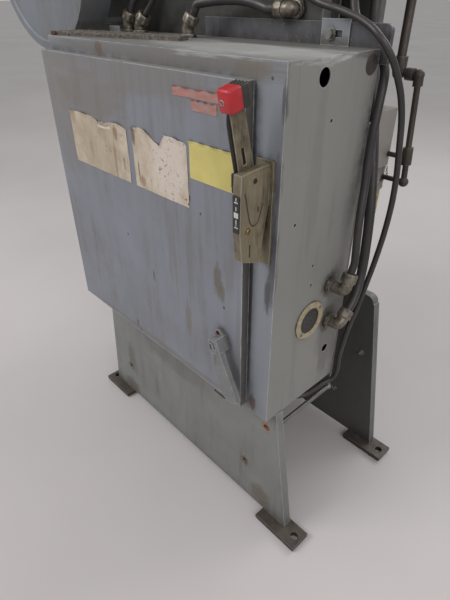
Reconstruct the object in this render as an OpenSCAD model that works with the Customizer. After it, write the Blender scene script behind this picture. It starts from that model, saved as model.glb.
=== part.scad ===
// Small gap-frame mechanical stamping press with its electrical control cabinet.
// Millimetres. The origin is on the floor, at the centre of the four foot bolts.
// +X runs to the rear of the press, +Y away from the cabinet door, +Z up.

/* [Stand] */
// Distance between the foot bolts, front to back
foot_pitch_x = 904; // [880:1:930]
// Distance between the foot bolts, side to side
foot_pitch_y = 431; // [425:1:445]
// Diameter of each foot bolt hole
foot_hole_d = 22; // [14:1:26]
// Length of a foot pad
pad_l = 140; // [100:1:160]
// Width of a foot pad
pad_w = 64; // [56:1:70]
// Thickness of a foot pad
pad_t = 12; // [8:1:16]
// Thickness of the shim under a foot pad
shim_t = 6; // [3:1:8]
// How far the pads stand out from the middle of the leg plates
pad_shift = 12; // [6:1:14]
// Thickness of the leg plates and of the frame's side plates
plate_t = 25; // [20:1:28]
// Height of the near leg, and of the cabinet's underside, above the floor
leg_h = 420; // [400:1:440]
// How far the leg's rear edge leans in from foot to top
leg_flare = 62; // [40:1:80]
// Height of the far leg's rounded shoulder above the near leg
shoulder_h = 137; // [100:1:180]

/* [Frame] */
// Clear width between the two side plates
frame_gap = 175; // [170:1:180]
// Distance from the crank axis back to the throat plate edge
throat_depth = 151; // [140:1:160]
// Depth of the column, front to back
column_depth = 675; // [640:1:690]
// Distance from the crank axis forward to the front of the frame
head_front = 130; // [124:1:140]
// Height of the crank axis above the floor
crank_z = 1407; // [1400:1:1412]
// Distance from the cabinet's left side forward to the crank axis
crank_ahead = 171; // [168:1:176]
// Height of the top of the head above the crank axis
head_rise = 193; // [188:1:200]
// Height of the underside of the head above the floor
head_under_z = 1170; // [1160:1:1176]
// Height of the bed edge of the side plates above the floor
bed_edge_z = 820; // [800:1:830]
// Radius of the throat corners
throat_r = 50; // [30:1:70]
// Thickness of the bed plate
bed_t = 30; // [20:1:35]
// Thickness of the bolster plate
bolster_t = 45; // [35:1:50]
// Width of a tee slot
tee_slot = 16; // [12:1:18]

/* [Drive] */
// Stroke of the ram
stroke = 32; // [24:1:36]
// Distance between the crank pin and the ball of the pitman
pitman_l = 215; // [211:1:218]
// Radius of the crank pin
pin_r = 28; // [24:1:30]
// Radius of the main journals
journal_r = 32; // [30:1:34]
// Radius of the flywheel seat on the crankshaft
nose_r = 26; // [24:1:27]
// Radial clearance of the running fits
run_fit = 0.05; // [0.02:0.01:0.08]
// Radius of the flywheel
flywheel_r = 235; // [225:1:240]
// Width of the flywheel
flywheel_w = 62; // [60:1:64]
// Radius of the motor pulley
pulley_r = 62; // [58:1:66]
// Pitch of the belt grooves
groove_pitch = 19; // [18:0.5:20]
// Radius of the ball on the adjusting screw
ball_r = 26; // [24:1:27]
// Width of the ram, side to side
ram_w = 136; // [130:1:140]
// Depth of the ram, front to back
ram_d = 130; // [120:1:140]
// Height of the ram
ram_h = 212; // [205:1:216]
// Height of a V on the gibs
vee_h = 12; // [8:1:14]
// Radius of the brake drum
brake_r = 85; // [75:1:95]
// Radius of the flywheel guard
guard_r = 262; // [258:1:264]
// Depth of the flywheel guard
guard_d = 85; // [84:1:88]

/* [Motor] */
// Radius of the motor body over its fins
motor_r = 97; // [90:1:99]
// Height of the motor shaft above the motor plate
motor_rise = 100; // [100:1:110]
// Distance from the crank axis back to the motor shaft
motor_back = 330; // [325:1:335]

/* [Control cabinet] */
// Width of the cabinet
cabinet_w = 797; // [790:1:805]
// Height of the cabinet
cabinet_h = 775; // [765:1:785]
// Depth of the cabinet
cabinet_d = 254; // [250:1:258]
// Sheet thickness of the cabinet and its door
sheet = 2.5; // [2:0.5:3]
// How far the cabinet's front stands ahead of the near leg
cabinet_ahead = 32; // [25:1:40]
// Thickness of the cabinet's mounting rail
rail_t = 9; // [6:1:10]
// Strip of the cabinet's front that the door leaves free beside the latch
door_strip = 68; // [64:1:76]
// Height of the door
door_h = 729; // [715:1:735]
// Depth of the door pan
door_d = 21; // [18:1:26]
// Height of the door's lower edge above the cabinet's underside
door_rise = 15; // [10:1:20]
// How far the door's hinge edge overhangs the cabinet's left side
door_lap = 10; // [8:1:12]
// Diameter of the knockout holes near the top of the right side
knockout_d = 31; // [26:1:34]
// Diameter of the receptacle ring
receptacle_d = 95; // [88:1:100]
// Length of the latch lever
latch_l = 145; // [120:1:150]
// Length of the disconnect lever from its pin to the middle of the grip
lever_l = 202; // [190:1:210]
// Lean of the disconnect lever away from vertical, in degrees
lever_lean = 13; // [8:1:20]

/* [Services] */
// Radius of the long hose from the cabinet's top to its underside
hose_long_r = 6.5; // [6:0.5:8]
// Radius of the thinner hoses
hose_thin_r = 8.5; // [7:0.5:8.5]
// Radius of the hose into the lower side fitting
hose_lower_r = 11; // [9:0.5:12]
// Radius of the hose from the right-hand top connector
hose_mid_r = 10; // [8:0.5:10]
// Radius of the air main
air_main_r = 10; // [8:0.5:11]
// Radius of the air branch
air_branch_r = 7; // [5:0.5:8]

/* [Hidden] */
$fn = 64;

// Stand
foot_z = pad_t + shim_t;
near_leg_y = -foot_pitch_y / 2 + pad_shift - plate_t / 2;
far_plate_y = foot_pitch_y / 2 + pad_shift - plate_t / 2;
leg_foot_rear = foot_pitch_x / 2 - 34;
leg_foot_front = -foot_pitch_x / 2 + 10;
leg_top_rear = leg_foot_rear - leg_flare;
leg_top_front = leg_foot_front + 42;
shoulder_z = leg_h + shoulder_h;
shoulder_x = leg_top_rear - leg_flare * shoulder_h / (leg_h - foot_z);

// Cabinet box
cabinet_y = near_leg_y - cabinet_ahead;
cabinet_back = cabinet_y + cabinet_d;
cabinet_x1 = leg_top_rear - 3;
cabinet_x0 = cabinet_x1 - cabinet_w;
cabinet_top = leg_h + cabinet_h;

// Side plates
near_plate_y = far_plate_y - frame_gap - plate_t;
inner_y0 = near_plate_y + plate_t;
inner_y1 = far_plate_y;
mid_y = (inner_y0 + inner_y1) / 2;
far_face_y = far_plate_y + plate_t;
crank_x = cabinet_x0 - crank_ahead;
frame_x0 = crank_x - head_front;
throat_x = crank_x + throat_depth;
column_x1 = throat_x + column_depth;
head_z = crank_z + head_rise;
bed_x1 = throat_x - throat_r;
bed_z = bed_edge_z + bed_t;
bolster_z = bed_z + bolster_t;

// Crank train along Y
guard_y = inner_y0 - plate_t - 98 - guard_d;
flywheel_y = guard_y + 16;
flywheel_y1 = flywheel_y + flywheel_w;
throw = stroke / 2;
pin_z = crank_z + throw;
ball_z = pin_z - pitman_l;
pin_half = 59.5;
cheek_t = 22;
cheek_r = 58;
boss_near = 25;
boss_far = 22;
bush_r = journal_r + 10;
ram_top = ball_z + 92;
ram_z = ram_top - ram_h;
gap_gib = (frame_gap - ram_w) / 2;
slide_fit = 0.08;

// Motor
motor_x = crank_x + motor_back;
motor_plate_z = head_z + 12;
motor_z = motor_plate_z + motor_rise;
motor_y = -62;
foot_ys = [motor_y + 58, motor_y + 208];

// Door
door_x = cabinet_x0 - door_lap;
door_w = cabinet_w + door_lap - door_strip;
door_z = leg_h + door_rise;
door_y = cabinet_y - door_d;
hinge_x = cabinet_x0 - 6;
hinge_y = cabinet_y + 4;
hinge_r = 3.5;
hinge_zs = [door_z + 90, door_z + door_h / 2, door_z + door_h - 90];
latch_x = door_x + door_w - 54;
latch_z = leg_h + 190;
lip_x = cabinet_x1 - door_strip - 29;
switch_x = cabinet_x1 - 36;
switch_z = leg_h + 535;
switch_y = cabinet_y - 24;
housing_x = switch_x - 5;
housing_w = 19;
housing_z = switch_z + 82;
lever_x = housing_x - 8.6;
lever_t = 8;
grip_gap = 0.3;

// Side panel features: distance back from the cabinet's front, height above its underside
knockout_at = [96, cabinet_h - 31];
plug_at = [cabinet_d - 23, cabinet_h - 23];
receptacle_at = [128, 237];
drain_at = [209, 112];
upper_elbow_at = [191, 307];
lower_elbow_at = [203, 203];
small_holes = [[128, cabinet_h - 104], [49, 495], [121, 381], [122, 333]];
elbow_reach = 33;
upper_reach = 42;
upper_tilt = 20;
lower_tilt = 45;
elbow_l = 42;
bottom_elbow_l = 36;
bottom_at = [200, -128];
frame_elbow_at = [150, cabinet_top + 59];
frame_elbow_reach = 26;
elbow_port_r = 11;

// Top connectors: place along X and Y
top_at = [[-360, -60], [-307, -60], [-112, -60]];
top_tilts = [[25, 20], [42, 20], [30, 20]];
top_l = 30;

// Rail behind the cabinet's top
rail_x0 = cabinet_x0 + 318;
rail_x1 = cabinet_x1 + 17;
rail_z1 = cabinet_top + 40;
rail_z0 = rail_z1 - 65;

// A route with one more point on the curve between each two of its points, and with straight ends
function smoothed(p) = [for (i = [0 : 2 * len(p) - 2]) let (k = floor(i / 2)) i % 2 == 0 ? p[k]
    : k == 0 || k == len(p) - 2 ? (p[k] + p[k + 1]) / 2
    : (9 * (p[k] + p[k + 1]) - p[k - 1] - p[k + 2]) / 16];

// Outlets: points a distance l along the axis of a fitting, from its bend
function top_out(i, l) = let (t = top_tilts[i][0], a = top_tilts[i][1]) [top_at[i][0] + l * sin(t) * cos(a),
    top_at[i][1] + l * sin(t) * sin(a), cabinet_top + 20 + l * cos(t)];
function side_out(at, t, l, reach = elbow_reach) = [cabinet_x1 + reach, cabinet_y + at[0] + l * sin(t),
    leg_h + at[1] + l * cos(t)];

// Hose routes, from end to end
hose_a_route = concat([top_out(1, top_l), top_out(1, top_l + 24)], [[-215, -42, 1300], [-150, -35, 1316],
    [-60, -28, 1322], [40, -20, 1316], [115, -13, 1302], [170, -8, 1283], [213, -5, 1266], [278, -7, 1251],
    [330, -14, 1235], [362, -18, 1216], [380, -8, 1192], [392, 14, 1150], [398, 36, 1100],
    [401, 54, 1016], [402, 66, 930], [399, 68, 850], [393, 62, 770], [385, 51, 690],
    [379, 38, 625], [373, 25, 570], [369, 19, 520], [366, 16, 475], [366, 16, 432], [361, 6, 404],
    [351, -16, 396], [346, -50, 391], [338, -85, 388], [318, -112, 387]],
    [[bottom_at[0] + 84, bottom_at[1], leg_h - elbow_reach],
    [bottom_at[0] + bottom_elbow_l, bottom_at[1], leg_h - elbow_reach]]);
hose_b_route = smoothed(concat([[240, 75, 1350], [240, 75, 1318], [246, 63, 1273], [268, 48, 1238],
    [305, 36, 1210], [338, 29, 1186], [358, 24, 1158], [365, 12, 1115], [367, 3, 1060],
    [369, -2, 1000], [374, -8, 950], [381, -20, 895], [390, -31, 835]],
    [side_out(upper_elbow_at, upper_tilt, elbow_l + 22, upper_reach),
    side_out(upper_elbow_at, upper_tilt, elbow_l, upper_reach)]));
hose_c_route = smoothed(concat([[240, 150, 1350], [240, 150, 1308], [252, 135, 1240], [285, 105, 1160],
    [322, 75, 1060], [350, 56, 960], [366, 45, 880], [373, 41, 800], [377, 36, 740], [382, 20, 695]],
    [side_out(lower_elbow_at, lower_tilt, elbow_l + 20), side_out(lower_elbow_at, lower_tilt, elbow_l)]));
hose_d_route = smoothed(concat([top_out(0, top_l), top_out(0, top_l + 22)], [[-310, -32, 1300],
    [-270, -15, 1350], [-222, -2, 1400], [-185, 4, 1455], [-160, 5, 1520], [-150, 4, 1570], [-150, 6, 1605],
    [-150, 19, 1640], [-150, 40, 1668], [-150, 40, 1690]]));
hose_e_route = smoothed(smoothed(concat([top_out(2, top_l), top_out(2, top_l + 22)],
    [[-30, -28, cabinet_top + 73], [30, -17, cabinet_top + 72], [75, -12, cabinet_top + 63],
    [frame_elbow_at[0] - 60, near_plate_y - frame_elbow_reach, frame_elbow_at[1]],
    [frame_elbow_at[0] - bottom_elbow_l, near_plate_y - frame_elbow_reach, frame_elbow_at[1]]])));

// A profile in X and Z, carried along +Y
module along_y(y0, length) {
    translate([0, y0 + length, 0]) rotate([90, 0, 0]) linear_extrude(length) children();
}

// A profile in Y and Z, carried along +X
module along_x(x0, length) {
    translate([x0, 0, 0]) rotate([90, 0, 90]) linear_extrude(length) children();
}

module rod_y(x, z, y0, length, r) {
    translate([x, y0, z]) rotate([-90, 0, 0]) cylinder(h = length, r = r);
}

module rod_x(y, z, x0, length, r) {
    translate([x0, y, z]) rotate([0, 90, 0]) cylinder(h = length, r = r);
}

module rod_z(x, y, z0, length, r) {
    translate([x, y, z0]) cylinder(h = length, r = r);
}

module block(x, y, z) {
    translate([x[0], y[0], z[0]]) cube([x[1] - x[0], y[1] - y[0], z[1] - z[0]]);
}

// A turned profile (radius, distance) about an axis along +Y
module turned_y(x, z, y0, points) {
    translate([x, y0, z]) rotate([-90, 0, 0]) rotate_extrude($fn = 96) polygon(points);
}

module hex_y(x, z, y0, length, across) {
    translate([x, y0, z]) rotate([-90, 0, 0]) cylinder(h = length, r = across / sqrt(3), $fn = 6);
}

module hex_z(x, y, z0, length, across) {
    translate([x, y, z0]) cylinder(h = length, r = across / sqrt(3), $fn = 6);
}

// Swept round tube: rings of n sides along a list of points
function unit(v) = v / norm(v);
function tangent(p, i) = unit(p[min(i + 1, len(p) - 1)] - p[max(i - 1, 0)]);
function first_side(t) = unit(cross(t, abs(t[2]) < 0.9 ? [0, 0, 1] : [1, 0, 0]));
function side_at(p, i) = i == 0 ? first_side(tangent(p, 0))
    : let (s = side_at(p, i - 1), t = tangent(p, i)) unit(s - (s * t) * t);
function ring(p, i, r, n) = let (s = side_at(p, i), u = cross(tangent(p, i), s))
    [for (k = [0 : n - 1]) p[i] + r * (cos(360 * k / n) * s + sin(360 * k / n) * u)];

module tube(p, r, n = 10) {
    last = len(p) - 1;
    points = [for (i = [0 : last]) each ring(p, i, r, n)];
    sides = [for (i = [0 : last - 1], k = [0 : n - 1])
        [i * n + k, (i + 1) * n + k, (i + 1) * n + (k + 1) % n, i * n + (k + 1) % n]];
    cap0 = [for (k = [0 : n - 1]) k];
    cap1 = [for (k = [n - 1 : -1 : 0]) last * n + k];
    polyhedron(points, concat([cap0], sides, [cap1]), convexity = 6);
}

// Outline of a loop round two circles in the X-Z plane
function arc(c, r, a0, a1, n) =
    [for (i = [0 : n]) c + r * [cos(a0 + (a1 - a0) * i / n), sin(a0 + (a1 - a0) * i / n)]];
function loop(c0, r0, c1, r1, n) = let (d = c1 - c0, a = atan2(d[1], d[0]),
    b = acos((r0 - r1) / norm(d)))
    concat(arc(c0, r0, a + b, a + 360 - b, n), arc(c1, r1, a - b, a + b, n));

crank_c = [crank_x, crank_z];
motor_c = [motor_x, motor_z];

// Stand

module leg_outline(top_front, top_rear, top_z) {
    polygon([[leg_foot_front, foot_z], [leg_foot_rear, foot_z], [top_rear, top_z],
        [top_front, top_z]]);
}

module near_leg() {
    color("#6f7378") difference() {
        along_y(near_leg_y, plate_t) leg_outline(leg_top_front, leg_top_rear, leg_h);
        rod_y(leg_top_rear - 29, leg_h - 67, near_leg_y - 1, plate_t + 2, 10);
        rod_y(leg_top_rear - 100, leg_h - 262, near_leg_y - 1, plate_t + 2, 9);
        rod_y(leg_top_front + 72, leg_h - 275, near_leg_y - 1, plate_t + 2, 9);
        for (dx = [0, 36]) rod_y(leg_top_rear - 222 + dx, leg_h - 75, near_leg_y - 1, plate_t + 2, 6);
        block([leg_top_rear - 222, leg_top_rear - 186], [near_leg_y - 1, near_leg_y + plate_t + 1],
            [leg_h - 81, leg_h - 69]);
    }
}

// Side view of one side plate above the stand
module plate_outline() {
    difference() {
        polygon([[frame_x0, bed_edge_z - 180], [frame_x0, head_z - 100], [frame_x0 + 55, head_z],
            [column_x1 - 120, head_z], [column_x1, head_z - 120], [column_x1, leg_h],
            [leg_top_front, leg_h], [crank_x + 55, leg_h + 100]]);
        translate([frame_x0 - 1, bed_edge_z])
            square([throat_x - throat_r - frame_x0 + 1, head_under_z - bed_edge_z]);
        translate([frame_x0, bed_edge_z + throat_r])
            square([throat_x - frame_x0, head_under_z - bed_edge_z - 2 * throat_r]);
        for (z = [bed_edge_z + throat_r, head_under_z - throat_r])
            translate([throat_x - throat_r, z]) circle(throat_r);
    }
}

// The far leg with its rounded shoulder, one piece with the far side plate
module shoulder_outline() {
    r = 22;
    difference() {
        leg_outline(leg_top_front, shoulder_x, shoulder_z);
        translate([shoulder_x - r, shoulder_z - r]) square([2 * r, 2 * r]);
    }
    translate([shoulder_x - r - 0.5, shoulder_z - r]) circle(r);
}

module near_side_plate() {
    color("#9a9ea2") difference() {
        union() {
            along_y(near_plate_y, plate_t) plate_outline();
            rod_y(crank_x, crank_z, near_plate_y - boss_near, boss_near + 1, 64);
        }
        rod_y(crank_x, crank_z, near_plate_y - boss_near - 1, plate_t + boss_near + 2, bush_r);
    }
}

module far_side_plate() {
    color("#9a9ea2") difference() {
        union() {
            along_y(far_plate_y, plate_t) union() {
                plate_outline();
                shoulder_outline();
            }
            rod_y(crank_x, crank_z, far_face_y - 1, boss_far + 1, 64);
        }
        rod_y(crank_x, crank_z, far_plate_y - 1, plate_t + boss_far + 2, bush_r);
        rod_y(shoulder_x - 18, leg_h - 62, far_plate_y - 1, plate_t + 2, 7);
        rod_y(leg_top_rear - 100, leg_h - 262, far_plate_y - 1, plate_t + 2, 9);
    }
}

module cross_beams() {
    color("#5f6468") for (x = [leg_top_front + 70, -60]) difference() {
        block([x, x + 80], [near_leg_y + plate_t, far_plate_y], [leg_h - 100, leg_h]);
        block([x + 8, x + 72], [near_leg_y, far_plate_y + 20], [leg_h - 92, leg_h - 8]);
    }
}

module foot_pads() {
    half_x = foot_pitch_x / 2;
    half_y = foot_pitch_y / 2;
    color("#4b4640") for (x = [-half_x, half_x], y = [-half_y, half_y]) translate([x, y, 0]) {
        inner = x < 0 ? [-22, pad_l - 22] : [22 - pad_l, 22];
        difference() {
            block(inner, [-pad_w / 2, pad_w / 2], [shim_t, foot_z]);
            rod_z(0, 0, -1, foot_z + 2, foot_hole_d / 2);
        }
        difference() {
            block([inner[0] + 3, inner[1] - 3], [-pad_w / 2 + 2, pad_w / 2 - 2], [0, shim_t]);
            rod_z(0, 0, -1, foot_z + 2, foot_hole_d / 2);
        }
    }
}

// Frame

module frame_webs() {
    color("#8d9195") {
        block([throat_x + 12, throat_x + 32], [inner_y0, inner_y1], [bed_edge_z, head_under_z + 40]);
        block([column_x1 - 120, column_x1 - 104], [inner_y0, inner_y1], [leg_h + 60, head_z - 150]);
        block([frame_x0, frame_x0 + 20], [inner_y0, inner_y1], [bed_edge_z - 175, bed_edge_z]);
        block([frame_x0 + 150, column_x1 - 125], [inner_y0, inner_y1], [head_z - 16, head_z]);
    }
}

module bed_plate() {
    color("#8d9195") difference() {
        block([frame_x0, bed_x1], [near_plate_y - 40, far_face_y + 40], [bed_edge_z, bed_z]);
        rod_z(crank_x, mid_y, bed_edge_z - 1, bed_t + 2, 45);
    }
}

module bolster_plate() {
    slot_z = bolster_z - 16;
    color("#6d6f70") difference() {
        block([frame_x0 + 4, bed_x1 - 4], [near_plate_y - 40, far_face_y + 40], [bed_z, bolster_z]);
        rod_z(crank_x, mid_y, bed_z - 1, bolster_t + 2, 32);
        for (y = [mid_y - 90, mid_y + 90]) {
            block([frame_x0, throat_x], [y - tee_slot / 2, y + tee_slot / 2], [slot_z - 1, bolster_z + 1]);
            block([frame_x0, throat_x], [y - tee_slot, y + tee_slot], [slot_z - 12, slot_z]);
        }
        for (x = [frame_x0 + 30, bed_x1 - 30], y = [near_plate_y - 20, far_face_y + 20])
            rod_z(x, y, bolster_z - 14, 20, 13);
    }
}

module hex_bolts() {
    color("#55585a") {
        for (x = [frame_x0 + 30, bed_x1 - 30], y = [near_plate_y - 20, far_face_y + 20])
            hex_z(x, y, bolster_z - 14, 10, 19);
        for (x = [motor_x - 98, motor_x + 98], y = foot_ys) hex_z(x, y, motor_plate_z + 12, 7, 16);
        hex_y(rail_x1 - 127, rail_z1 - 20, cabinet_back - 12.5, 7, 16);
        rod_y(rail_x1 - 127, rail_z1 - 20, cabinet_back - 5.5, 2.5, 12);
        rod_y(rail_x1 - 127, rail_z1 - 20, cabinet_back - 4, rail_t + 4, 5);
    }
}

// The V that guides the ram, in X and Y, pointing along +Y
function vee(c) = [[-vee_h - c, -0.01], [vee_h + c, -0.01], [0, vee_h + c]];

module gib(flip) {
    depth = gap_gib - slide_fit;
    mirror([0, flip, 0]) linear_extrude(head_z - head_under_z - 270)
        polygon([[-32, 0], [32, 0], [32, depth], [vee_h, depth], [0, depth + vee_h],
            [-vee_h, depth], [-32, depth]]);
}

module ram_gibs() {
    color("#7a6a45") {
        translate([crank_x, inner_y0, head_under_z + 3]) gib(0);
        translate([crank_x, inner_y1, head_under_z + 3]) gib(1);
    }
}

// Ram and pitman

// The well is longer behind the ball, where the crank swings the pitman
module ram() {
    color("#777b7e") difference() {
        block([crank_x - ram_d / 2, crank_x + ram_d / 2], [mid_y - ram_w / 2, mid_y + ram_w / 2],
            [ram_z, ram_top]);
        for (s = [0, 1]) translate([crank_x, mid_y, ram_z - 1]) mirror([0, s, 0])
            translate([0, -ram_w / 2, 0]) linear_extrude(ram_h + 2) polygon(vee(slide_fit));
        block([crank_x - ball_r - 6, crank_x + throw + ball_r + 6], [mid_y - ball_r - 6, mid_y + ball_r + 6],
            [ball_z - ball_r - 5, ram_top + 1]);
        rod_z(crank_x, mid_y, ram_z - 1, 41, 16);
    }
}

module ram_cap() {
    well_x = [crank_x - ball_r - 5.9, crank_x + throw + ball_r + 5.9];
    color("#606467") difference() {
        union() {
            block(well_x, [mid_y - ball_r - 5.9, mid_y + ball_r + 5.9], [ball_z + 24.5, ram_top]);
            block([crank_x - ram_d / 2 + 6, crank_x + ram_d / 2 - 4], [mid_y - 46, mid_y + 46],
                [ram_top, ram_top + 12]);
        }
        block([crank_x, crank_x + throw], [mid_y - 19, mid_y + 19], [ball_z, ram_top + 20]);
        for (x = [crank_x, crank_x + throw]) rod_z(x, mid_y, ball_z, 120, 19);
    }
}

module ball_screw() {
    color("#8a8d90") {
        translate([crank_x, mid_y, ball_z]) sphere(ball_r, $fn = 48);
        rod_z(crank_x, mid_y, ball_z + 10, 106, 15);
        rod_z(crank_x, mid_y, ball_z + 114, 66, 19.9);
    }
}

module lock_nut() {
    color("#55585a") difference() {
        hex_z(crank_x, mid_y, ball_z + 115, 15, 56);
        rod_z(crank_x, mid_y, ball_z + 110, 30, 20);
    }
}

module pitman() {
    color("#6b6f72") difference() {
        union() {
            rod_z(crank_x, mid_y, ball_z + 130.2, 60, 33);
            along_y(mid_y - 57.5, 115) intersection() {
                union() {
                    translate([crank_x, pin_z]) circle(50);
                    translate([crank_x - 78, pin_z - 24]) square([156, 24]);
                }
                translate([crank_x - 90, pin_z - 60]) square([180, 59.7]);
            }
        }
        rod_y(crank_x, pin_z, mid_y - 60, 120, pin_r + run_fit);
        rod_z(crank_x, mid_y, ball_z + 129, 52, 20);
        for (x = [-64, 64], y = [-32, 32]) rod_z(crank_x + x, mid_y + y, pin_z - 30, 40, 7);
    }
}

module pitman_cap() {
    color("#6b6f72") {
        difference() {
            along_y(mid_y - 57.5, 115) intersection() {
                union() {
                    translate([crank_x, pin_z]) circle(50);
                    translate([crank_x - 78, pin_z]) square([156, 24]);
                }
                translate([crank_x - 90, pin_z]) square([180, 60]);
            }
            rod_y(crank_x, pin_z, mid_y - 60, 120, pin_r + run_fit);
        }
        for (x = [-64, 64], y = [-32, 32]) hex_z(crank_x + x, mid_y + y, pin_z + 24, 11, 22);
    }
}

// Crank train

module crankshaft() {
    near_cheek = mid_y - pin_half - cheek_t;
    color("#868a8d") {
        rod_y(crank_x, crank_z, flywheel_y - 7, 6.5, nose_r + 8);
        rod_y(crank_x, crank_z, flywheel_y - 1, flywheel_w + 4, nose_r);
        rod_y(crank_x, crank_z, flywheel_y1 + 1, near_plate_y - boss_near - flywheel_y1, 28);
        rod_y(crank_x, crank_z, near_plate_y - boss_near - 2, plate_t + boss_near + 10, journal_r);
        rod_y(crank_x, crank_z, near_cheek, cheek_t, cheek_r);
        rod_y(crank_x, pin_z, mid_y - pin_half - 1, 2 * pin_half + 2, pin_r);
        rod_y(crank_x, crank_z, mid_y + pin_half, cheek_t, cheek_r);
        rod_y(crank_x, crank_z, inner_y1 - 7, plate_t + boss_far + 9, journal_r);
        rod_y(crank_x, crank_z, far_face_y + boss_far, 38, 28);
    }
}

module bush(y0, length) {
    difference() {
        rod_y(crank_x, crank_z, y0, length, bush_r);
        rod_y(crank_x, crank_z, y0 - 1, length + 2, journal_r + run_fit);
    }
}

module crank_bushes() {
    color("#b08a4a") {
        bush(near_plate_y - boss_near, plate_t + boss_near);
        bush(inner_y1, plate_t + boss_far);
    }
}

// Half-profile of a belt groove, cut from a rim of radius r
function groove(r, t) = [[r, t - 8], [r - 16, t - 6], [r - 16, t + 6], [r, t + 8]];
function grooves(r) = [for (i = [-1 : 1]) each groove(r, flywheel_w / 2 + i * groove_pitch)];

module flywheel() {
    r = flywheel_r;
    bore = nose_r + 12;
    web0 = flywheel_w / 2 - 7;
    web1 = flywheel_w / 2 + 7;
    color("#7d8285") difference() {
        turned_y(crank_x, crank_z, flywheel_y, concat([[bore, 0], [60, 0], [66, web0], [r - 50, web0],
            [r - 45, 0], [r, 0]], grooves(r), [[r, flywheel_w], [r - 45, flywheel_w], [r - 50, web1],
            [142, web1], [142, flywheel_w], [96, flywheel_w], [96, web1], [66, web1], [60, flywheel_w],
            [bore, flywheel_w]]));
        for (a = [0 : 60 : 300]) rod_y(crank_x + 164 * cos(a), crank_z + 164 * sin(a), flywheel_y - 1,
            flywheel_w + 2, 17);
    }
}

module flywheel_bush() {
    color("#b08a4a") turned_y(crank_x, crank_z, flywheel_y,
        [[nose_r + run_fit, 0], [nose_r + 12, 0], [nose_r + 12, flywheel_w], [nose_r + run_fit, flywheel_w]]);
}

module clutch_ring() {
    color("#5b5f62") difference() {
        turned_y(crank_x, crank_z, flywheel_y1, [[100, 0], [140, 0], [140, 10], [136, 14], [100, 14]]);
        for (a = [30 : 60 : 330])
            rod_y(crank_x + 120 * cos(a), crank_z + 120 * sin(a), flywheel_y1 + 6, 10, 9);
    }
}

module clutch_hub() {
    room = near_plate_y - boss_near - flywheel_y1 - 4;
    color("#74787b") turned_y(crank_x, crank_z, flywheel_y1 + 2, [[28, 0], [44, 0], [44, 14], [134, 14],
        [134, 24], [108, 26], [108, room - 18], [96, room - 8], [50, room - 8], [46, room], [28, room]]);
}

module brake_drum() {
    y0 = far_face_y + boss_far + 4;
    color("#6d7073") turned_y(crank_x, crank_z, y0,
        [[28, 0], [46, 0], [46, 10], [brake_r - 12, 10], [brake_r - 12, 0], [brake_r, 0], [brake_r, 32],
        [brake_r - 12, 32], [brake_r - 12, 20], [46, 20], [46, 32], [28, 32]]);
}

module brake_band() {
    y0 = far_face_y + boss_far + 8;
    color("#4c4a47") {
        difference() {
            rod_y(crank_x, crank_z, y0, 24, brake_r + 8.3);
            rod_y(crank_x, crank_z, y0 - 1, 26, brake_r + 0.3);
            block([crank_x - 14, crank_x + 14], [y0 - 1, y0 + 25], [crank_z, crank_z + 120]);
        }
        for (s = [-1, 1]) block([crank_x + s * 18 - 4, crank_x + s * 18 + 4], [y0, y0 + 24],
            [crank_z + brake_r + 4, crank_z + brake_r + 34]);
        rod_x(y0 + 12, crank_z + brake_r + 22, crank_x - 40, 80, 5);
        block([crank_x - 20, crank_x + 20], [far_face_y, y0 + 24],
            [crank_z - brake_r - 34, crank_z - brake_r - 4]);
    }
}

module flywheel_guard() {
    r = guard_r;
    d = guard_d;
    color("#b4b8ba") {
        difference() {
            turned_y(crank_x, crank_z, guard_y, [[0, 4], [r - 24, 4], [r - 20, 0], [r, 0], [r, d],
                [r - 72, d], [r - 72, d - 3], [r - 3, d - 3], [r - 3, 3], [r - 19, 3], [r - 23, 7], [0, 7]]);
            along_y(guard_y + 3.5, d - 7) difference() {
                polygon(loop(crank_c, r - 16, motor_c, 80, 40));
                translate(crank_c) circle(r - 4);
            }
        }
        for (p = [[-115, -190], [110, -190], [110, 170]])
            rod_y(crank_x + p[0], crank_z + p[1], guard_y + guard_d, near_plate_y - guard_y - guard_d, 8);
    }
}

module belt_guard() {
    color("#b4b8ba") difference() {
        along_y(guard_y, guard_d) polygon(loop(crank_c, guard_r - 12, motor_c, 84, 40));
        along_y(guard_y + 3, guard_d - 6) polygon(loop(crank_c, guard_r - 15, motor_c, 81, 40));
        translate([crank_x, guard_y - 1, crank_z]) rotate([-90, 0, 0])
            cylinder(h = guard_d + 2, r = guard_r + 0.2, $fn = 256);
        rod_y(motor_x, motor_z, guard_y + guard_d - 10, 20, 40);
    }
}

module crank_cover() {
    color("#9a9ea2") difference() {
        union() {
            block([frame_x0 - 3, frame_x0], [near_plate_y + 3, far_face_y - 3], [crank_z - 70, head_z - 100]);
            along_y(inner_y0 + 20, frame_gap - 40) intersection() {
                translate([crank_x, crank_z]) circle(head_front + 12, $fn = 96);
                translate([frame_x0 - 40, crank_z - 60]) square([40, 120]);
            }
        }
        along_y(inner_y0 + 23, frame_gap - 46) intersection() {
            translate([crank_x, crank_z]) circle(head_front + 9, $fn = 96);
            translate([frame_x0 - 40, crank_z - 57]) square([60, 114]);
        }
    }
}

// Motor

module motor_plate() {
    color("#7d8285") difference() {
        block([motor_x - 120, motor_x + 120], [-72, far_face_y], [head_z, motor_plate_z]);
        for (x = [-98, 98], y = foot_ys) {
            for (s = [-8, 8]) rod_z(motor_x + x + s, y, head_z - 1, 20, 5.5);
            block([motor_x + x - 8, motor_x + x + 8], [y - 5.5, y + 5.5], [head_z - 1, head_z + 19]);
        }
    }
}

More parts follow.
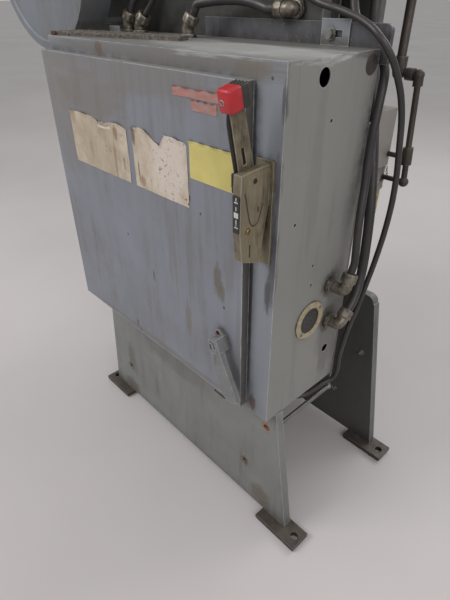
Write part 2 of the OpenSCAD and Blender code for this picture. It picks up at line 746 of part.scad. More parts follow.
module motor_body() {
    y0 = motor_y;
    length = 250;
    color("#3f5568") difference() {
        union() {
            rod_y(motor_x, motor_z, y0, length, motor_r - 8);
            for (a = [0 : 15 : 345]) translate([motor_x, y0 + 30, motor_z]) rotate([0, a, 0])
                translate([0, 0, -1.5]) cube([motor_r, length - 60, 3]);
            rod_y(motor_x, motor_z, y0 + length - 1, 22, motor_r - 22);
            for (y = foot_ys) block([motor_x - 116, motor_x + 116], [y - 18, y + 18],
                [motor_plate_z, motor_plate_z + 12]);
            for (y = foot_ys) block([motor_x - 60, motor_x + 60], [y - 18, y + 18],
                [motor_plate_z, motor_z]);
            block([motor_x + 60, motor_x + 175], [5, 95], [motor_z - 22, motor_z + 50]);
        }
        rod_y(motor_x, motor_z, y0 - 1, length - 40, 16 + run_fit);
    }
}

module motor_shaft() {
    color("#9a9da0") rod_y(motor_x, motor_z, flywheel_y - 4, 250, 16);
}

module motor_pulley() {
    r = pulley_r;
    color("#5b5f62") turned_y(motor_x, motor_z, flywheel_y, concat([[16, 0], [r, 0]], grooves(r),
        [[r, flywheel_w], [16, flywheel_w]]));
}

module v_belts() {
    color("#26272a") for (i = [-1 : 1]) difference() {
        y = flywheel_y + flywheel_w / 2 + i * groove_pitch - 5.5;
        along_y(y, 11) polygon(loop(crank_c, flywheel_r - 2, motor_c, pulley_r - 2, 40));
        along_y(y - 1, 13) polygon(loop(crank_c, flywheel_r - 13, motor_c, pulley_r - 13, 40));
    }
}

// Control cabinet

module side_hole(at, r) {
    rod_x(cabinet_y + at[0], leg_h + at[1], cabinet_x1 - 10, 20, r);
}

module cabinet_body() {
    lip = 28;
    color("#7f858c") {
        difference() {
            block([cabinet_x0, cabinet_x1], [cabinet_y, cabinet_back], [leg_h, cabinet_top]);
            block([cabinet_x0 + sheet, cabinet_x1 - sheet], [cabinet_y + sheet, cabinet_back - sheet],
                [leg_h + sheet, cabinet_top - sheet]);
            block([cabinet_x0 + lip, lip_x], [cabinet_y - 1, cabinet_y + 10], [leg_h + 45, cabinet_top - 60]);
            side_hole(knockout_at, knockout_d / 2);
            side_hole(plug_at, knockout_d / 2);
            side_hole(receptacle_at, receptacle_d / 3 + 1);
            side_hole(drain_at, 11);
            side_hole(upper_elbow_at, elbow_port_r);
            side_hole(lower_elbow_at, elbow_port_r);
            for (at = small_holes) side_hole(at, 3.5);
            for (at = top_at) rod_z(at[0], at[1], cabinet_top - 10, 20, elbow_port_r);
            rod_z(bottom_at[0], bottom_at[1], leg_h - 10, 20, elbow_port_r);
            block([switch_x - 8, switch_x + 8], [cabinet_y - 5, cabinet_y + 5],
                [switch_z - 60, switch_z + 20]);
        }
        difference() {
            block([rail_x1 - 150, rail_x1 - 85], [cabinet_back - 3, cabinet_back],
                [cabinet_top - 1, rail_z1 + 5]);
            block([rail_x1 - 133, rail_x1 - 101], [cabinet_back - 4, cabinet_back + 1],
                [rail_z1 - 26, rail_z1 - 14]);
        }
        block([cabinet_x0 + 60, cabinet_x0 + 104], [cabinet_back - 108, cabinet_back - 104],
            [cabinet_top - 1, cabinet_top + 17]);
        for (z = hinge_zs) {
            block([hinge_x + hinge_r + 0.5, cabinet_x0 + 0.5], [hinge_y, hinge_y + 22], [z - 30, z + 30]);
            difference() {
                union() {
                    rod_z(hinge_x, hinge_y, z - 30, 30, hinge_r);
                    block([hinge_x, cabinet_x0], [hinge_y, hinge_y + hinge_r], [z - 30, z]);
                }
                rod_z(hinge_x, hinge_y, z - 31, 32, 2);
            }
        }
    }
}

module hinge_pins() {
    color("#8f9295") for (z = hinge_zs) {
        rod_z(hinge_x, hinge_y, z - 30, 60, 2);
        rod_z(hinge_x, hinge_y, z - 32, 2, hinge_r);
    }
}

module cabinet_door() {
    x1 = door_x + door_w;
    z1 = door_z + door_h;
    color("#80868d") {
        difference() {
            block([door_x, x1], [door_y, cabinet_y - 0.4], [door_z, z1]);
            block([door_x + sheet, x1 - sheet], [door_y + sheet, cabinet_y + 1],
                [door_z + sheet, z1 - sheet]);
            rod_y(latch_x, latch_z, door_y - 1, 10, 8 + run_fit);
        }
        for (z = hinge_zs) {
            block([door_x + sheet - 1, hinge_x - 2.6], [door_y + sheet - 1, hinge_y], [z + 1, z + 29]);
            difference() {
                rod_z(hinge_x, hinge_y, z + 0.3, 29.7, hinge_r);
                rod_z(hinge_x, hinge_y, z - 1, 32, 2 + run_fit);
            }
        }
    }
}

module sub_panel() {
    y = cabinet_back - 25;
    color("#c9cbc8") {
        block([cabinet_x0 + 40, cabinet_x1 - 90], [y, y + sheet], [leg_h + 50, cabinet_top - 70]);
        for (x = [cabinet_x0 + 55, cabinet_x1 - 105], z = [leg_h + 65, cabinet_top - 85])
            rod_y(x, z, y + sheet, 25 - 2 * sheet, 5);
    }
}

module disconnect_switch() {
    y1 = cabinet_back - 25;
    color("#2f3134") {
        block([cabinet_x1 - 210, cabinet_x1 - 100], [y1 - 85, y1], [leg_h + 500, leg_h + 660]);
        for (i = [0 : 2]) rod_z(cabinet_x1 - 190 + 35 * i, y1 - 50, leg_h + 490, 10.5, 8);
        block([cabinet_x1 - 162, cabinet_x1 - 148], [y1 - 115, y1 - 84], [leg_h + 560, leg_h + 590]);
    }
}

module panel_devices() {
    y1 = cabinet_back - 25;
    color("#55524c") {
        for (i = [0 : 3]) translate([cabinet_x0 + 80 + 75 * i, 0, leg_h + 480]) {
            block([0, 58], [y1 - 70, y1], [0, 110]);
            block([8, 50], [y1 - 84, y1 - 69], [20, 90]);
        }
        block([cabinet_x0 + 80, cabinet_x0 + 210], [y1 - 95, y1], [leg_h + 100, leg_h + 210]);
        block([cabinet_x0 + 95, cabinet_x0 + 195], [y1 - 110, y1 - 94], [leg_h + 120, leg_h + 190]);
        block([cabinet_x0 + 260, cabinet_x1 - 130], [y1 - 40, y1], [leg_h + 120, leg_h + 165]);
        for (z = [leg_h + 300, leg_h + 430])
            block([cabinet_x0 + 60, cabinet_x1 - 230], [y1 - 50, y1], [z, z + 35]);
    }
}

module hole_plug() {
    color("#6a6d6e") translate([cabinet_x1, cabinet_y + plug_at[0], leg_h + plug_at[1]]) rotate([0, 90, 0])
        rotate_extrude() polygon([[0, -3], [knockout_d / 2 - 0.5, -3], [knockout_d / 2 - 0.5, 0],
            [knockout_d / 2 + 2, 0], [knockout_d / 2 + 2, 1.2], [knockout_d / 2 - 2, 2.2], [0, 1.4]]);
}

module receptacle_ring() {
    color("#c8b98f") translate([cabinet_x1, cabinet_y + receptacle_at[0], leg_h + receptacle_at[1]])
        rotate([0, 90, 0]) rotate_extrude($fn = 96) polygon([[receptacle_d / 3, -8],
            [receptacle_d / 3 + 1, -8], [receptacle_d / 3 + 1, 0], [receptacle_d / 2, 0],
            [receptacle_d / 2, 3],
            [receptacle_d / 2 - 4, 5], [receptacle_d / 3 + 3, 5], [receptacle_d / 3, 3]]);
}

module receptacle_insert() {
    r = receptacle_d / 3;
    color("#2a2a2b") translate([cabinet_x1, cabinet_y + receptacle_at[0], leg_h + receptacle_at[1]])
        rotate([0, 90, 0]) difference() {
            translate([0, 0, -8]) cylinder(h = 9, r = r);
            for (i = [0 : 11]) rotate(30 * i) translate([0.72 * r, 0, -2]) cylinder(h = 5, r = 2.4, $fn = 16);
            for (i = [0 : 5]) rotate(60 * i) translate([0.36 * r, 0, -2]) cylinder(h = 5, r = 2.4, $fn = 16);
        }
}

module top_mat() {
    color("#4e4239") translate([0, 0, cabinet_top]) linear_extrude(10)
        polygon([[-428, -244], [-44, -140], [-56, -106], [-250, -128], [-425, -170]]);
}

module cabinet_rail() {
    r = 12;
    color("#63676a") along_y(cabinet_back, rail_t) difference() {
        union() {
            translate([rail_x0, rail_z0]) square([rail_x1 - rail_x0 - r, rail_z1 - rail_z0]);
            translate([rail_x0, rail_z0]) square([rail_x1 - rail_x0, rail_z1 - rail_z0 - r]);
            translate([rail_x1 - r, rail_z1 - r]) circle(r);
        }
        translate([rail_x1 - 127, rail_z1 - 20]) circle(5);
    }
}

// A right-angle conduit fitting: thread and locknut at its seat, body, gland nut along its outlet
module elbow_fitting(l, reach = elbow_reach, inside = 6) {
    translate([0, 0, -inside]) cylinder(h = inside + 2, r = elbow_port_r);
    cylinder(h = 6, r = 16.5, $fn = 8);
    cylinder(h = reach, r = 14);
    translate([-15, 0, reach]) rotate([0, 90, 0]) cylinder(h = 30, r = 15.5);
    translate([0, 0, reach]) rotate([-90, 0, 0]) {
        cylinder(h = l - 14, r = 13.5);
        translate([0, 0, l - 22]) cylinder(h = 22, r = 16, $fn = 8);
    }
}

module elbow_connectors() {
    color("#8a8378") {
        translate([cabinet_x1, cabinet_y + upper_elbow_at[0], leg_h + upper_elbow_at[1]])
            rotate([90 - upper_tilt, 0, 0]) rotate([0, 90, 0]) elbow_fitting(elbow_l, upper_reach);
        translate([cabinet_x1, cabinet_y + lower_elbow_at[0], leg_h + lower_elbow_at[1]])
            rotate([90 - lower_tilt, 0, 0]) rotate([0, 90, 0]) elbow_fitting(elbow_l);
        translate([bottom_at[0], bottom_at[1], leg_h]) rotate([180, 0, 0]) rotate([0, 0, -90])
            elbow_fitting(bottom_elbow_l);
        translate([frame_elbow_at[0], near_plate_y, frame_elbow_at[1]]) rotate([90, 0, 0]) rotate([0, 0, 90])
            elbow_fitting(bottom_elbow_l, frame_elbow_reach, 0);
    }
}

// A connector on the cabinet's top, its outlet leaning towards the hose
module top_connectors() {
    color("#8a8378") for (i = [0 : 2]) translate([top_at[i][0], top_at[i][1], cabinet_top]) {
        translate([0, 0, -6]) cylinder(h = 8, r = elbow_port_r);
        cylinder(h = 7, r = 19, $fn = 8);
        cylinder(h = 20, r = 14);
        translate([0, 0, 20]) sphere(15.5, $fn = 32);
        translate([0, 0, 20]) rotate([0, 0, top_tilts[i][1]]) rotate([0, top_tilts[i][0], 0]) {
            cylinder(h = top_l - 10, r = 13.5);
            translate([0, 0, top_l - 18]) cylinder(h = 18, r = 17, $fn = 8);
        }
    }
}

// Services

module junction_box() {
    color("#8a8f92") {
        block([column_x1, column_x1 + 3], [near_plate_y + 5, far_plate_y - 12], [1340, 1476]);
        block([column_x1 + 3, column_x1 + 79], [60, 190], [1350, 1466]);
        block([column_x1 + 79, column_x1 + 82], [56, 194], [1346, 1470]);
    }
}

module air_pipe() {
    y = far_plate_y + 17;
    x0 = column_x1 + 63;
    x1 = column_x1 + 127;
    lean_x = 15;
    color("#45423e") {
        rod_z(x0, y, 1150, 1430 - 1150, air_main_r);
        rod_z(x0, y, 1128, 34, air_main_r + 5);
        translate([x0, y, 1128]) sphere(air_main_r + 4, $fn = 32);
        rod_x(y, 1128, x0, x1 - lean_x - x0, air_branch_r);
        rod_x(y, 1128, x0 + 20, 18, air_branch_r + 6);
        translate([x1 - lean_x, y, 1128]) sphere(air_branch_r + 5, $fn = 32);
        translate([x1, y, 892]) rotate([0, -atan(lean_x / 236), 0]) {
            cylinder(h = 236, r = air_branch_r);
            translate([0, 0, 214]) cylinder(h = 18, r = air_branch_r + 4);
            translate([0, 0, 42]) cylinder(h = 40, r = air_branch_r + 5);
        }
        rod_x(y, 950, column_x1 + 73, x1 - column_x1 - 73, air_branch_r - 1);
        translate([x1, y, 892]) sphere(air_branch_r + 5, $fn = 32);
        rod_x(y, 892, column_x1 + 70.3, x1 - column_x1 - 70.3, air_branch_r - 1);
    }
}

module air_filter() {
    y = far_plate_y + 17;
    x = column_x1 + 50;
    color("#8f948f") {
        block([column_x1, column_x1 + 73], [95, far_face_y], [920, 1055]);
        rod_z(x, y, 862, 59, 20);
        rod_z(x, y, 786, 77, 16);
        translate([x, y, 786]) sphere(13, $fn = 32);
    }
}

module clutch_valve() {
    color("#3d4146") {
        block([column_x1, column_x1 + 88], [far_plate_y - 8, far_face_y + 20], [1430, 1480]);
        block([column_x1 + 4, column_x1 + 50], [far_plate_y, far_face_y + 12], [1480, 1530]);
        block([column_x1 + 52, column_x1 + 86], [far_plate_y, far_face_y + 12], [1480, 1515]);
    }
}

module drain_tube() {
    x = leg_top_rear - 11;
    y = cabinet_back + 14;
    z = leg_h - 64;
    color("#8b8a86") {
        rod_y(x, z, near_leg_y + plate_t, y - near_leg_y - plate_t, 6);
        translate([x, y, z]) sphere(9, $fn = 32);
        rod_z(x, y, z, 1060 - z, 4);
        translate([x, y, 1060]) sphere(6, $fn = 32);
        rod_x(y, 1060, column_x1, x - column_x1, 4);
    }
}

module hose_a() { color("#2c2b2b") tube(hose_a_route, hose_long_r); }
module hose_b() { color("#2c2b2b") tube(hose_b_route, hose_thin_r); }
module hose_c() { color("#2c2b2b") tube(hose_c_route, hose_lower_r); }
module hose_d() { color("#2c2b2b") tube(hose_d_route, hose_thin_r); }
module hose_e() { color("#2c2b2b") tube(hose_e_route, hose_mid_r); }

// Latch and disconnect handle

module door_latch() {
    color("#8e9092") {
        translate([latch_x, 0, latch_z]) rotate([0, -22, 0]) difference() {
            union() {
                along_y(door_y - 12.3, 12) hull() {
                    translate([-15, -17]) square([30, 34]);
                    translate([0, 22]) circle(11);
                }
                along_y(door_y - 34, 23) translate([-15, -17]) square([30, 34]);
                along_y(door_y - 34, 14) polygon([[-14, -15], [14, -15], [19, 30 - latch_l], [17, -latch_l],
                    [-11, -latch_l], [-13, 30 - latch_l]]);
            }
            rod_y(0, 25, door_y - 20, 30, 4.5);
            along_y(door_y - 36, 5) translate([-2, -9]) square([4, 18]);
        }
        rod_y(latch_x, latch_z, door_y - 6, cabinet_y + sheet + 5.8 - door_y + 6, 8);
    }
}

module latch_tongue() {
    color("#8f9295") difference() {
        along_y(cabinet_y + sheet + 0.8, 5) hull() {
            translate([latch_x, latch_z]) circle(12);
            translate([latch_x, latch_z - 42]) circle(9);
        }
        rod_y(latch_x, latch_z, cabinet_y - 5, 20, 8);
    }
}

// The handle's side profile: a hood at the top, a straight front, a tapered foot that stands off the cabinet
module housing_profile() {
    translate([cabinet_y, housing_z]) polygon([[0, 0], [-72, -6], [-74, -40], [-75, -108], [-69, -166],
        [-24, -183], [-14, -128], [0, -48]]);
}

module disconnect_housing() {
    color("#85806f") {
        difference() {
            union() {
                along_x(housing_x, housing_w) housing_profile();
                block([housing_x - 14, housing_x + 27], [cabinet_y - 4, cabinet_y],
                    [housing_z - 193, housing_z + 6]);
            }
            difference() {
                along_x(housing_x - 1, housing_w - 1) offset(delta = -2.5) housing_profile();
                block([housing_x - 14, housing_x + 27], [cabinet_y - 4, cabinet_y],
                    [housing_z - 193, housing_z + 6]);
            }
        }
        rod_x(switch_y, switch_z, lever_x - 3, housing_x + housing_w - 1 - lever_x + 3, 5);
        rod_x(switch_y, switch_z, lever_x - 4, 3.6, 9);
    }
}

module disconnect_lever() {
    color("#8c8878") translate([0, switch_y, switch_z]) rotate([lever_lean, 0, 0]) difference() {
        union() {
            rod_x(0, 0, lever_x, lever_t, 15);
            along_x(lever_x, lever_t) polygon([[-15, 0], [15, 0], [18, 82], [16, lever_l - 18 - grip_gap],
                [-16, lever_l - 18 - grip_gap], [-18, 82]]);
        }
        along_x(lever_x - 1, lever_t - 2) polygon([[-12, 24], [12, 24], [15, 82], [13, lever_l - 21 - grip_gap],
            [-13, lever_l - 21 - grip_gap], [-15, 82]]);
        rod_x(0, 0, lever_x - 1, lever_t + 2, 5 + run_fit);
        along_x(lever_x - 1, lever_t + 2) translate([-5, 88]) square([7, 30]);
    }
}

module lever_grip() {
    color("#c8232c") translate([0, switch_y, switch_z]) rotate([lever_lean, 0, 0])
        translate([0, -10, lever_l]) difference() {
            along_x(lever_x - 1.4, 30) polygon([[-16, -18], [16, -18], [20, -14], [20, 14],
                [14, 18], [-14, 18], [-20, 12], [-20, -14]]);
            rod_y(lever_x + 13.6, 0, -22, 12, 4);
        }
}

near_leg();
far_side_plate();
near_side_plate();
cross_beams();
foot_pads();
frame_webs();
bed_plate();
bolster_plate();
hex_bolts();
ram_gibs();
ram();
ram_cap();
ball_screw();
lock_nut();
pitman();
pitman_cap();
crankshaft();
crank_bushes();
flywheel();
flywheel_bush();
clutch_ring();
clutch_hub();
brake_drum();
brake_band();
flywheel_guard();
belt_guard();
crank_cover();
motor_plate();
motor_body();
motor_shaft();
motor_pulley();
v_belts();
cabinet_body();
cabinet_door();
hinge_pins();
sub_panel();
disconnect_switch();
panel_devices();
door_latch();
latch_tongue();
disconnect_housing();
disconnect_lever();
lever_grip();
receptacle_ring();
receptacle_insert();
hole_plug();
top_mat();
cabinet_rail();
elbow_connectors();
top_connectors();
junction_box();
air_pipe();
air_filter();
clutch_valve();
drain_tube();
hose_a();
hose_b();
hose_c();
hose_d();
hose_e();
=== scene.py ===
import math
import bmesh
import bpy
import numpy as np
from mathutils import Matrix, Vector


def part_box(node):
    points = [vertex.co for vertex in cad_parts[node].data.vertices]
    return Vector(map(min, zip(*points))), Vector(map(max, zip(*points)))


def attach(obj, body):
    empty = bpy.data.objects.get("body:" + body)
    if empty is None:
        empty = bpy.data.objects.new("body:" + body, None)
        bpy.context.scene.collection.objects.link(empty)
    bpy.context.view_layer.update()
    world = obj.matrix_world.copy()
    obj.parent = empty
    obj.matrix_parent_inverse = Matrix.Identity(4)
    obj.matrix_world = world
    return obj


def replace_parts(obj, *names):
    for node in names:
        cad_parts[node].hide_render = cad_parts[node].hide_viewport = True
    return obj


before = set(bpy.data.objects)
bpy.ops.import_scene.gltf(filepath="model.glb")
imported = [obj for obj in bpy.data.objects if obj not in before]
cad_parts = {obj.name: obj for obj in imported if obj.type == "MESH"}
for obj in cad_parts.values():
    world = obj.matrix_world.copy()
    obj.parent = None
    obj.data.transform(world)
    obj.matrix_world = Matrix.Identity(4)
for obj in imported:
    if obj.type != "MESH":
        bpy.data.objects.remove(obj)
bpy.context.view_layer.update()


# The camera
# It stands in front of the cabinet's latch side, a little
# above its top, and looks down at it along the floor.
camera_at = (0.8561, -0.8457, 1.2802)
yaw, pitch, roll = math.radians(-47.19), math.radians(33.3), math.radians(-0.386)
focal_pixels, picture_height, film_height = 466.8, 600, 36.0

look = np.array([math.sin(yaw) * math.cos(pitch), math.cos(yaw) * math.cos(pitch), -math.sin(pitch)])
level = np.array([math.cos(yaw), -math.sin(yaw), 0.0])
upward = np.cross(level, look)
right = level * math.cos(roll) + upward * math.sin(roll)
above = upward * math.cos(roll) - level * math.sin(roll)
pose = Matrix([[*row] for row in np.column_stack([right, above, -look])]).to_4x4()


def placed(name, data):
    """A new object with this data, linked into the scene."""
    piece = bpy.data.objects.new(name, data)
    bpy.context.collection.objects.link(piece)
    return piece


camera = placed("camera", bpy.data.cameras.new("camera"))
camera.matrix_world = Matrix.Translation(camera_at) @ pose
camera.data.sensor_fit = "VERTICAL"
camera.data.sensor_height = film_height
camera.data.lens = film_height * focal_pixels / picture_height
camera.data.clip_start = 0.05
bpy.context.scene.camera = camera


# Hoses
# Conduit and air hoses of black rubber with a smooth skin, dusty on top and a little shiny where hands rub
# them. Each is pushed into a gland at both ends, so that its route starts and ends on the glands' faces.
def linear(colour):
    """An sRGB hex colour as linear red, green, blue and 1, by undoing the sRGB curve."""
    part = np.array([int(colour[i:i + 2], 16) / 255 for i in (1, 3, 5)])
    part = np.where(part <= 0.04045, part / 12.92, ((part + 0.055) / 1.055) ** 2.4)
    return (*(float(p) for p in part), 1.0)


def add(tree, kind, values=None, links=None, **settings):
    """Adds a node with its settings, its sockets' values and what is linked into them, and returns it."""
    node = tree.nodes.new("ShaderNode" + kind)
    for key, value in settings.items():
        setattr(node, key, value)
    for key, value in (values or {}).items():
        node.inputs[key].default_value = value
    for key, socket in (links or {}).items():
        tree.links.new(socket, node.inputs[key])
    return node


def empty_material(name):
    """A material with only its output, and its tree."""
    material = bpy.data.materials.new(name)
    material.use_nodes = True
    material.node_tree.nodes.clear()
    return material, material.node_tree


def layer(tree, under, over, mask, *others):
    """One colour laid over another where the product of its
    masks is 1. Either colour may be a socket or a hex value."""
    for other in others:
        mask = add(tree, "Math", operation="MULTIPLY", links={0: mask, 1: other}).outputs[0]
    mix = add(tree, "Mix", data_type="RGBA", links={0: mask})
    for place, colour in ((6, under), (7, over)):
        if isinstance(colour, str):
            mix.inputs[place].default_value = linear(colour)
        else:
            tree.links.new(colour, mix.inputs[place])
    return mix.outputs[2]


def cloud(tree, at, size, low, high, detail=4.0, rough=0.6):
    """A mask of soft spots about size metres wide: noise,
    with all under low made 0 and all over high made 1."""
    noise = add(tree, "TexNoise", {"Scale": 1.0 / size, "Detail": detail, "Roughness": rough}, {"Vector": at})
    return add(tree, "MapRange", {"From Min": low, "From Max": high},
               {"Value": noise.outputs["Fac"]}).outputs[0]


def facing(tree, way, strength):
    """A mask that is the strength on faces that look along a
    direction and 0 on the others, from the normal's share in it."""
    normal = add(tree, "NewGeometry").outputs["Normal"]
    share = add(tree, "VectorMath", {1: way}, {0: normal}, operation="DOT_PRODUCT").outputs["Value"]
    return add(tree, "MapRange", {"From Min": 0.55, "From Max": 0.95, "To Max": strength},
               {"Value": share}).outputs[0]


def spot(tree, at, centre, radii, strength):
    """A mask round one place: the distance from it, in radii,
    plus noise; under 0.6 is strength and over 1 is 0."""
    away = add(tree, "VectorMath", {1: centre}, {0: at}, operation="SUBTRACT").outputs[0]
    shares = add(tree, "VectorMath", {1: radii}, {0: away}, operation="DIVIDE").outputs[0]
    far = add(tree, "VectorMath", links={0: shares}, operation="LENGTH").outputs["Value"]
    noise = add(tree, "TexNoise", {"Scale": 1.6, "Detail": 5.0, "Roughness": 0.65},
                {"Vector": shares}).outputs["Fac"]
    ragged = add(tree, "Math", {1: 1.5, 2: -0.75}, {0: noise}, operation="MULTIPLY_ADD").outputs[0]
    reach = add(tree, "Math", operation="ADD", links={0: far, 1: ragged}).outputs[0]
    return add(tree, "MapRange", {"From Min": 1.0, "From Max": 0.6, "To Max": strength},
               {"Value": reach}).outputs[0]


def filled(given, usual):
    """A layer's colour and measures, with the usual values
    where it gives fewer; a colour alone may stand bare."""
    given = (given,) if isinstance(given, str) else given
    return given + usual[len(given) - 1:]


def finish(name, coat, drift, patch, grime=None, chip=None, edge=None, dust=None, corner_shade=None,
           rough=(0.42, 0.62), metal=0.0, grain=0.002, depth=0.00006, shading_tints=(), stains_and_shades=()):
    """A coat whose colour drifts over patches, then painted light and shade as tints on faces that look one
    way, grime in hanging streaks (colour, noise limits, a streak's width and length), painted shade in
    corners (colour, reach), stains and painted shadows at places, chips (colour, size, noise limits), worn
    edges (colour, width) and dust on top (colour, strength). Sizes are in metres, and every layer but the
    coat may be left out. The pores of paint and castings, of 0.3 mm or less, are too fine to show, so grain
    is as coarse as it needs to show."""
    material, tree = empty_material(name)
    at = add(tree, "TexCoord").outputs["Object"]
    colour = layer(tree, coat, drift, cloud(tree, at, patch, 0.35, 0.65))
    # Painted light and shade: faces that look one way take another colour, as if lit or shaded.
    for way, shading_tint in shading_tints:
        colour = layer(tree, colour, shading_tint, facing(tree, way, 0.85))
    if grime:
        grime, low, high, wide, long = filled(grime, (0.52, 0.72, 0.025, 0.3))
        scale = (patch / wide, patch / wide, patch / long)
        hung = add(tree, "Mapping", {"Scale": scale}, {"Vector": at}).outputs[0]
        run = cloud(tree, hung, patch, low, high, detail=6.0, rough=0.7)
        colour = layer(tree, colour, grime, run, cloud(tree, at, patch * 0.7, 0.3, 0.7))
    # Painted shade: corners and hollows that ambient occlusion finds are laid over with a dark colour.
    if corner_shade:
        corner_shade, reach = filled(corner_shade, (0.03,))
        open_sky = add(tree, "AmbientOcclusion", {"Distance": reach}, samples=4).outputs["AO"]
        corner_shade_mask = add(tree, "MapRange", {"From Min": 0.95, "From Max": 0.35}, {"Value": open_sky}).outputs[0]
        colour = layer(tree, colour, corner_shade, corner_shade_mask, cloud(tree, at, 0.02, 0.2, 0.6))
    # Stains, and painted shadows laid the same way, round given places.
    for centre, radii, stain_and_shade_colour, strength in stains_and_shades:
        colour = layer(tree, colour, stain_and_shade_colour, spot(tree, at, centre, radii, strength))
    if chip:
        chip, size, low, high = filled(chip, (0.007, 0.7, 0.72))
        spots = cloud(tree, at, size, low, high, detail=3.0)
        colour = layer(tree, colour, chip, spots, cloud(tree, at, size * 25, 0.45, 0.6))
    if edge:
        edge, width = filled(edge, (0.0015,))
        soft = add(tree, "Bevel", {"Radius": width}, samples=4).outputs[0]
        hard = add(tree, "NewGeometry").outputs["Normal"]
        same = add(tree, "VectorMath", operation="DOT_PRODUCT", links={0: soft, 1: hard}).outputs["Value"]
        rub = add(tree, "MapRange", {"From Min": 0.985, "From Max": 0.9}, {"Value": same}).outputs[0]
        colour = layer(tree, colour, edge, rub, cloud(tree, at, 0.03, 0.3, 0.52))
    if dust:
        dust, strength = filled(dust, (0.6,))
        top = facing(tree, (0.0, 0.0, 1.0), strength)
        colour = layer(tree, colour, dust, top, cloud(tree, at, patch * 0.4, 0.2, 0.65))
    sheen = add(tree, "MapRange", {"To Min": rough[0], "To Max": rough[1]},
                {"Value": cloud(tree, at, patch * 0.3, 0.3, 0.7)}).outputs[0]
    pores = add(tree, "TexNoise", {"Scale": 1.0 / grain, "Detail": 2.0}, {"Vector": at}).outputs["Fac"]
    bump = add(tree, "Bump", {"Strength": 1.0, "Distance": depth}, {"Height": pores}).outputs[0]
    shader = add(tree, "BsdfPrincipled", {"Metallic": metal},
                 {"Base Color": colour, "Roughness": sheen, "Normal": bump})
    add(tree, "OutputMaterial", links={"Surface": shader.outputs[0]})
    return material


cabinet_top, cabinet_side, cabinet_under = 1.195, 0.353, 0.42
top_seats, top_leans = ((-0.36, -0.06), (-0.307, -0.06), (-0.112, -0.06)), ((25, 20), (42, 20), (30, 20))
upper_seat, upper_lean, upper_reach = (-0.057, 0.727), 20, 0.042
lower_seat, lower_lean, lower_reach = (-0.045, 0.623), 45, 0.033
under_seat, frame_seat = (0.2, -0.128), (0.15, 1.254)


def top_way(i):
    """The direction of a top fitting's outlet: tipped from
    vertical by one angle, turned about it by another."""
    tip, turn = (math.radians(a) for a in top_leans[i])
    return np.array([math.sin(tip) * math.cos(turn), math.sin(tip) * math.sin(turn), math.cos(tip)])


def top_gland(i, length):
    """A point on a top fitting's outlet, the length along it from its bend 20 mm above the cabinet."""
    return np.array([*top_seats[i], cabinet_top + 0.02]) + top_way(i) * length


def side_way(lean_back):
    """The direction in the plane of the cabinet's side that
    leans back from vertical by an angle in degrees."""
    return np.array([0.0, math.sin(math.radians(lean_back)), math.cos(math.radians(lean_back))])


def side_gland(seat, lean_back, reach, length):
    """A point on a side fitting's outlet, the length along it from its bend."""
    return np.array([cabinet_side + reach, *seat]) + side_way(lean_back) * length


def smoothed(route):
    """A route with one more point between each two, on the
    cubic through the four nearest, with straight ends."""
    points = np.array(route, dtype=float)
    middle = (points[:-1] + points[1:]) / 2
    middle[1:-1] = (9 * (points[1:-2] + points[2:-1]) - points[:-3] - points[3:]) / 16
    both = np.empty((2 * len(points) - 1, 3))
    both[0::2], both[1::2] = points, middle
    return both


rubber = finish(
    "smooth_black_rubber", "#2a2627", "#353032", patch=0.1, grime=("#4a433c", 0.5, 0.8, 0.04, 0.12),
    dust=("#625850", 0.4), rough=(0.34, 0.52), grain=0.003)


def hose(name, route, thickness):
    """A round hose: one smooth spline through the route's points, which are in metres."""
    points = np.array(route, dtype=np.float32)
    line = bpy.data.curves.new(name, "CURVE")
    line.dimensions = "3D"
    line.bevel_depth = thickness / 2
    line.bevel_resolution = 5
    line.resolution_u = 6
    line.use_fill_caps = True
    spline = line.splines.new("BEZIER")
    spline.bezier_points.add(len(points) - 1)
    spline.bezier_points.foreach_set("co", points.ravel())
    for point in spline.bezier_points:
        point.handle_left_type = point.handle_right_type = "AUTO"
    piece = placed("rubber_" + name, line)
    line.materials.append(rubber)
    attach(piece, "press")
    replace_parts(piece, name)


hose("hose_a", [
    top_gland(1, 0.03), top_gland(1, 0.054), (-0.215, -0.042, 1.3), (-0.15, -0.035, 1.316),
    (-0.06, -0.028, 1.322), (0.04, -0.02, 1.316), (0.115, -0.013, 1.302), (0.17, -0.008, 1.283),
    (0.213, -0.005, 1.266), (0.278, -0.007, 1.251), (0.33, -0.014, 1.235), (0.362, -0.018, 1.216),
    (0.38, -0.008, 1.192), (0.392, 0.014, 1.15), (0.398, 0.036, 1.1), (0.401, 0.054, 1.016),
    (0.402, 0.066, 0.93), (0.399, 0.068, 0.85), (0.393, 0.062, 0.77), (0.385, 0.051, 0.69),
    (0.379, 0.038, 0.625), (0.373, 0.025, 0.57), (0.369, 0.019, 0.52), (0.366, 0.016, 0.475),
    (0.366, 0.016, 0.432), (0.361, 0.006, 0.404), (0.351, -0.016, 0.396), (0.346, -0.05, 0.391),
    (0.338, -0.085, 0.388), (0.318, -0.112, 0.387), (0.284, -0.128, 0.387), (0.236, -0.128, 0.387)], 0.013)
hose("hose_b", smoothed([
    (0.24, 0.075, 1.35), (0.24, 0.075, 1.318), (0.246, 0.063, 1.273), (0.268, 0.048, 1.238),
    (0.305, 0.036, 1.21), (0.338, 0.029, 1.186), (0.358, 0.024, 1.158), (0.365, 0.012, 1.115),
    (0.367, 0.003, 1.06), (0.369, -0.002, 1.0), (0.374, -0.008, 0.95), (0.381, -0.02, 0.895),
    (0.39, -0.031, 0.835), side_gland(upper_seat, upper_lean, upper_reach, 0.064),
    side_gland(upper_seat, upper_lean, upper_reach, 0.042)]), 0.017)
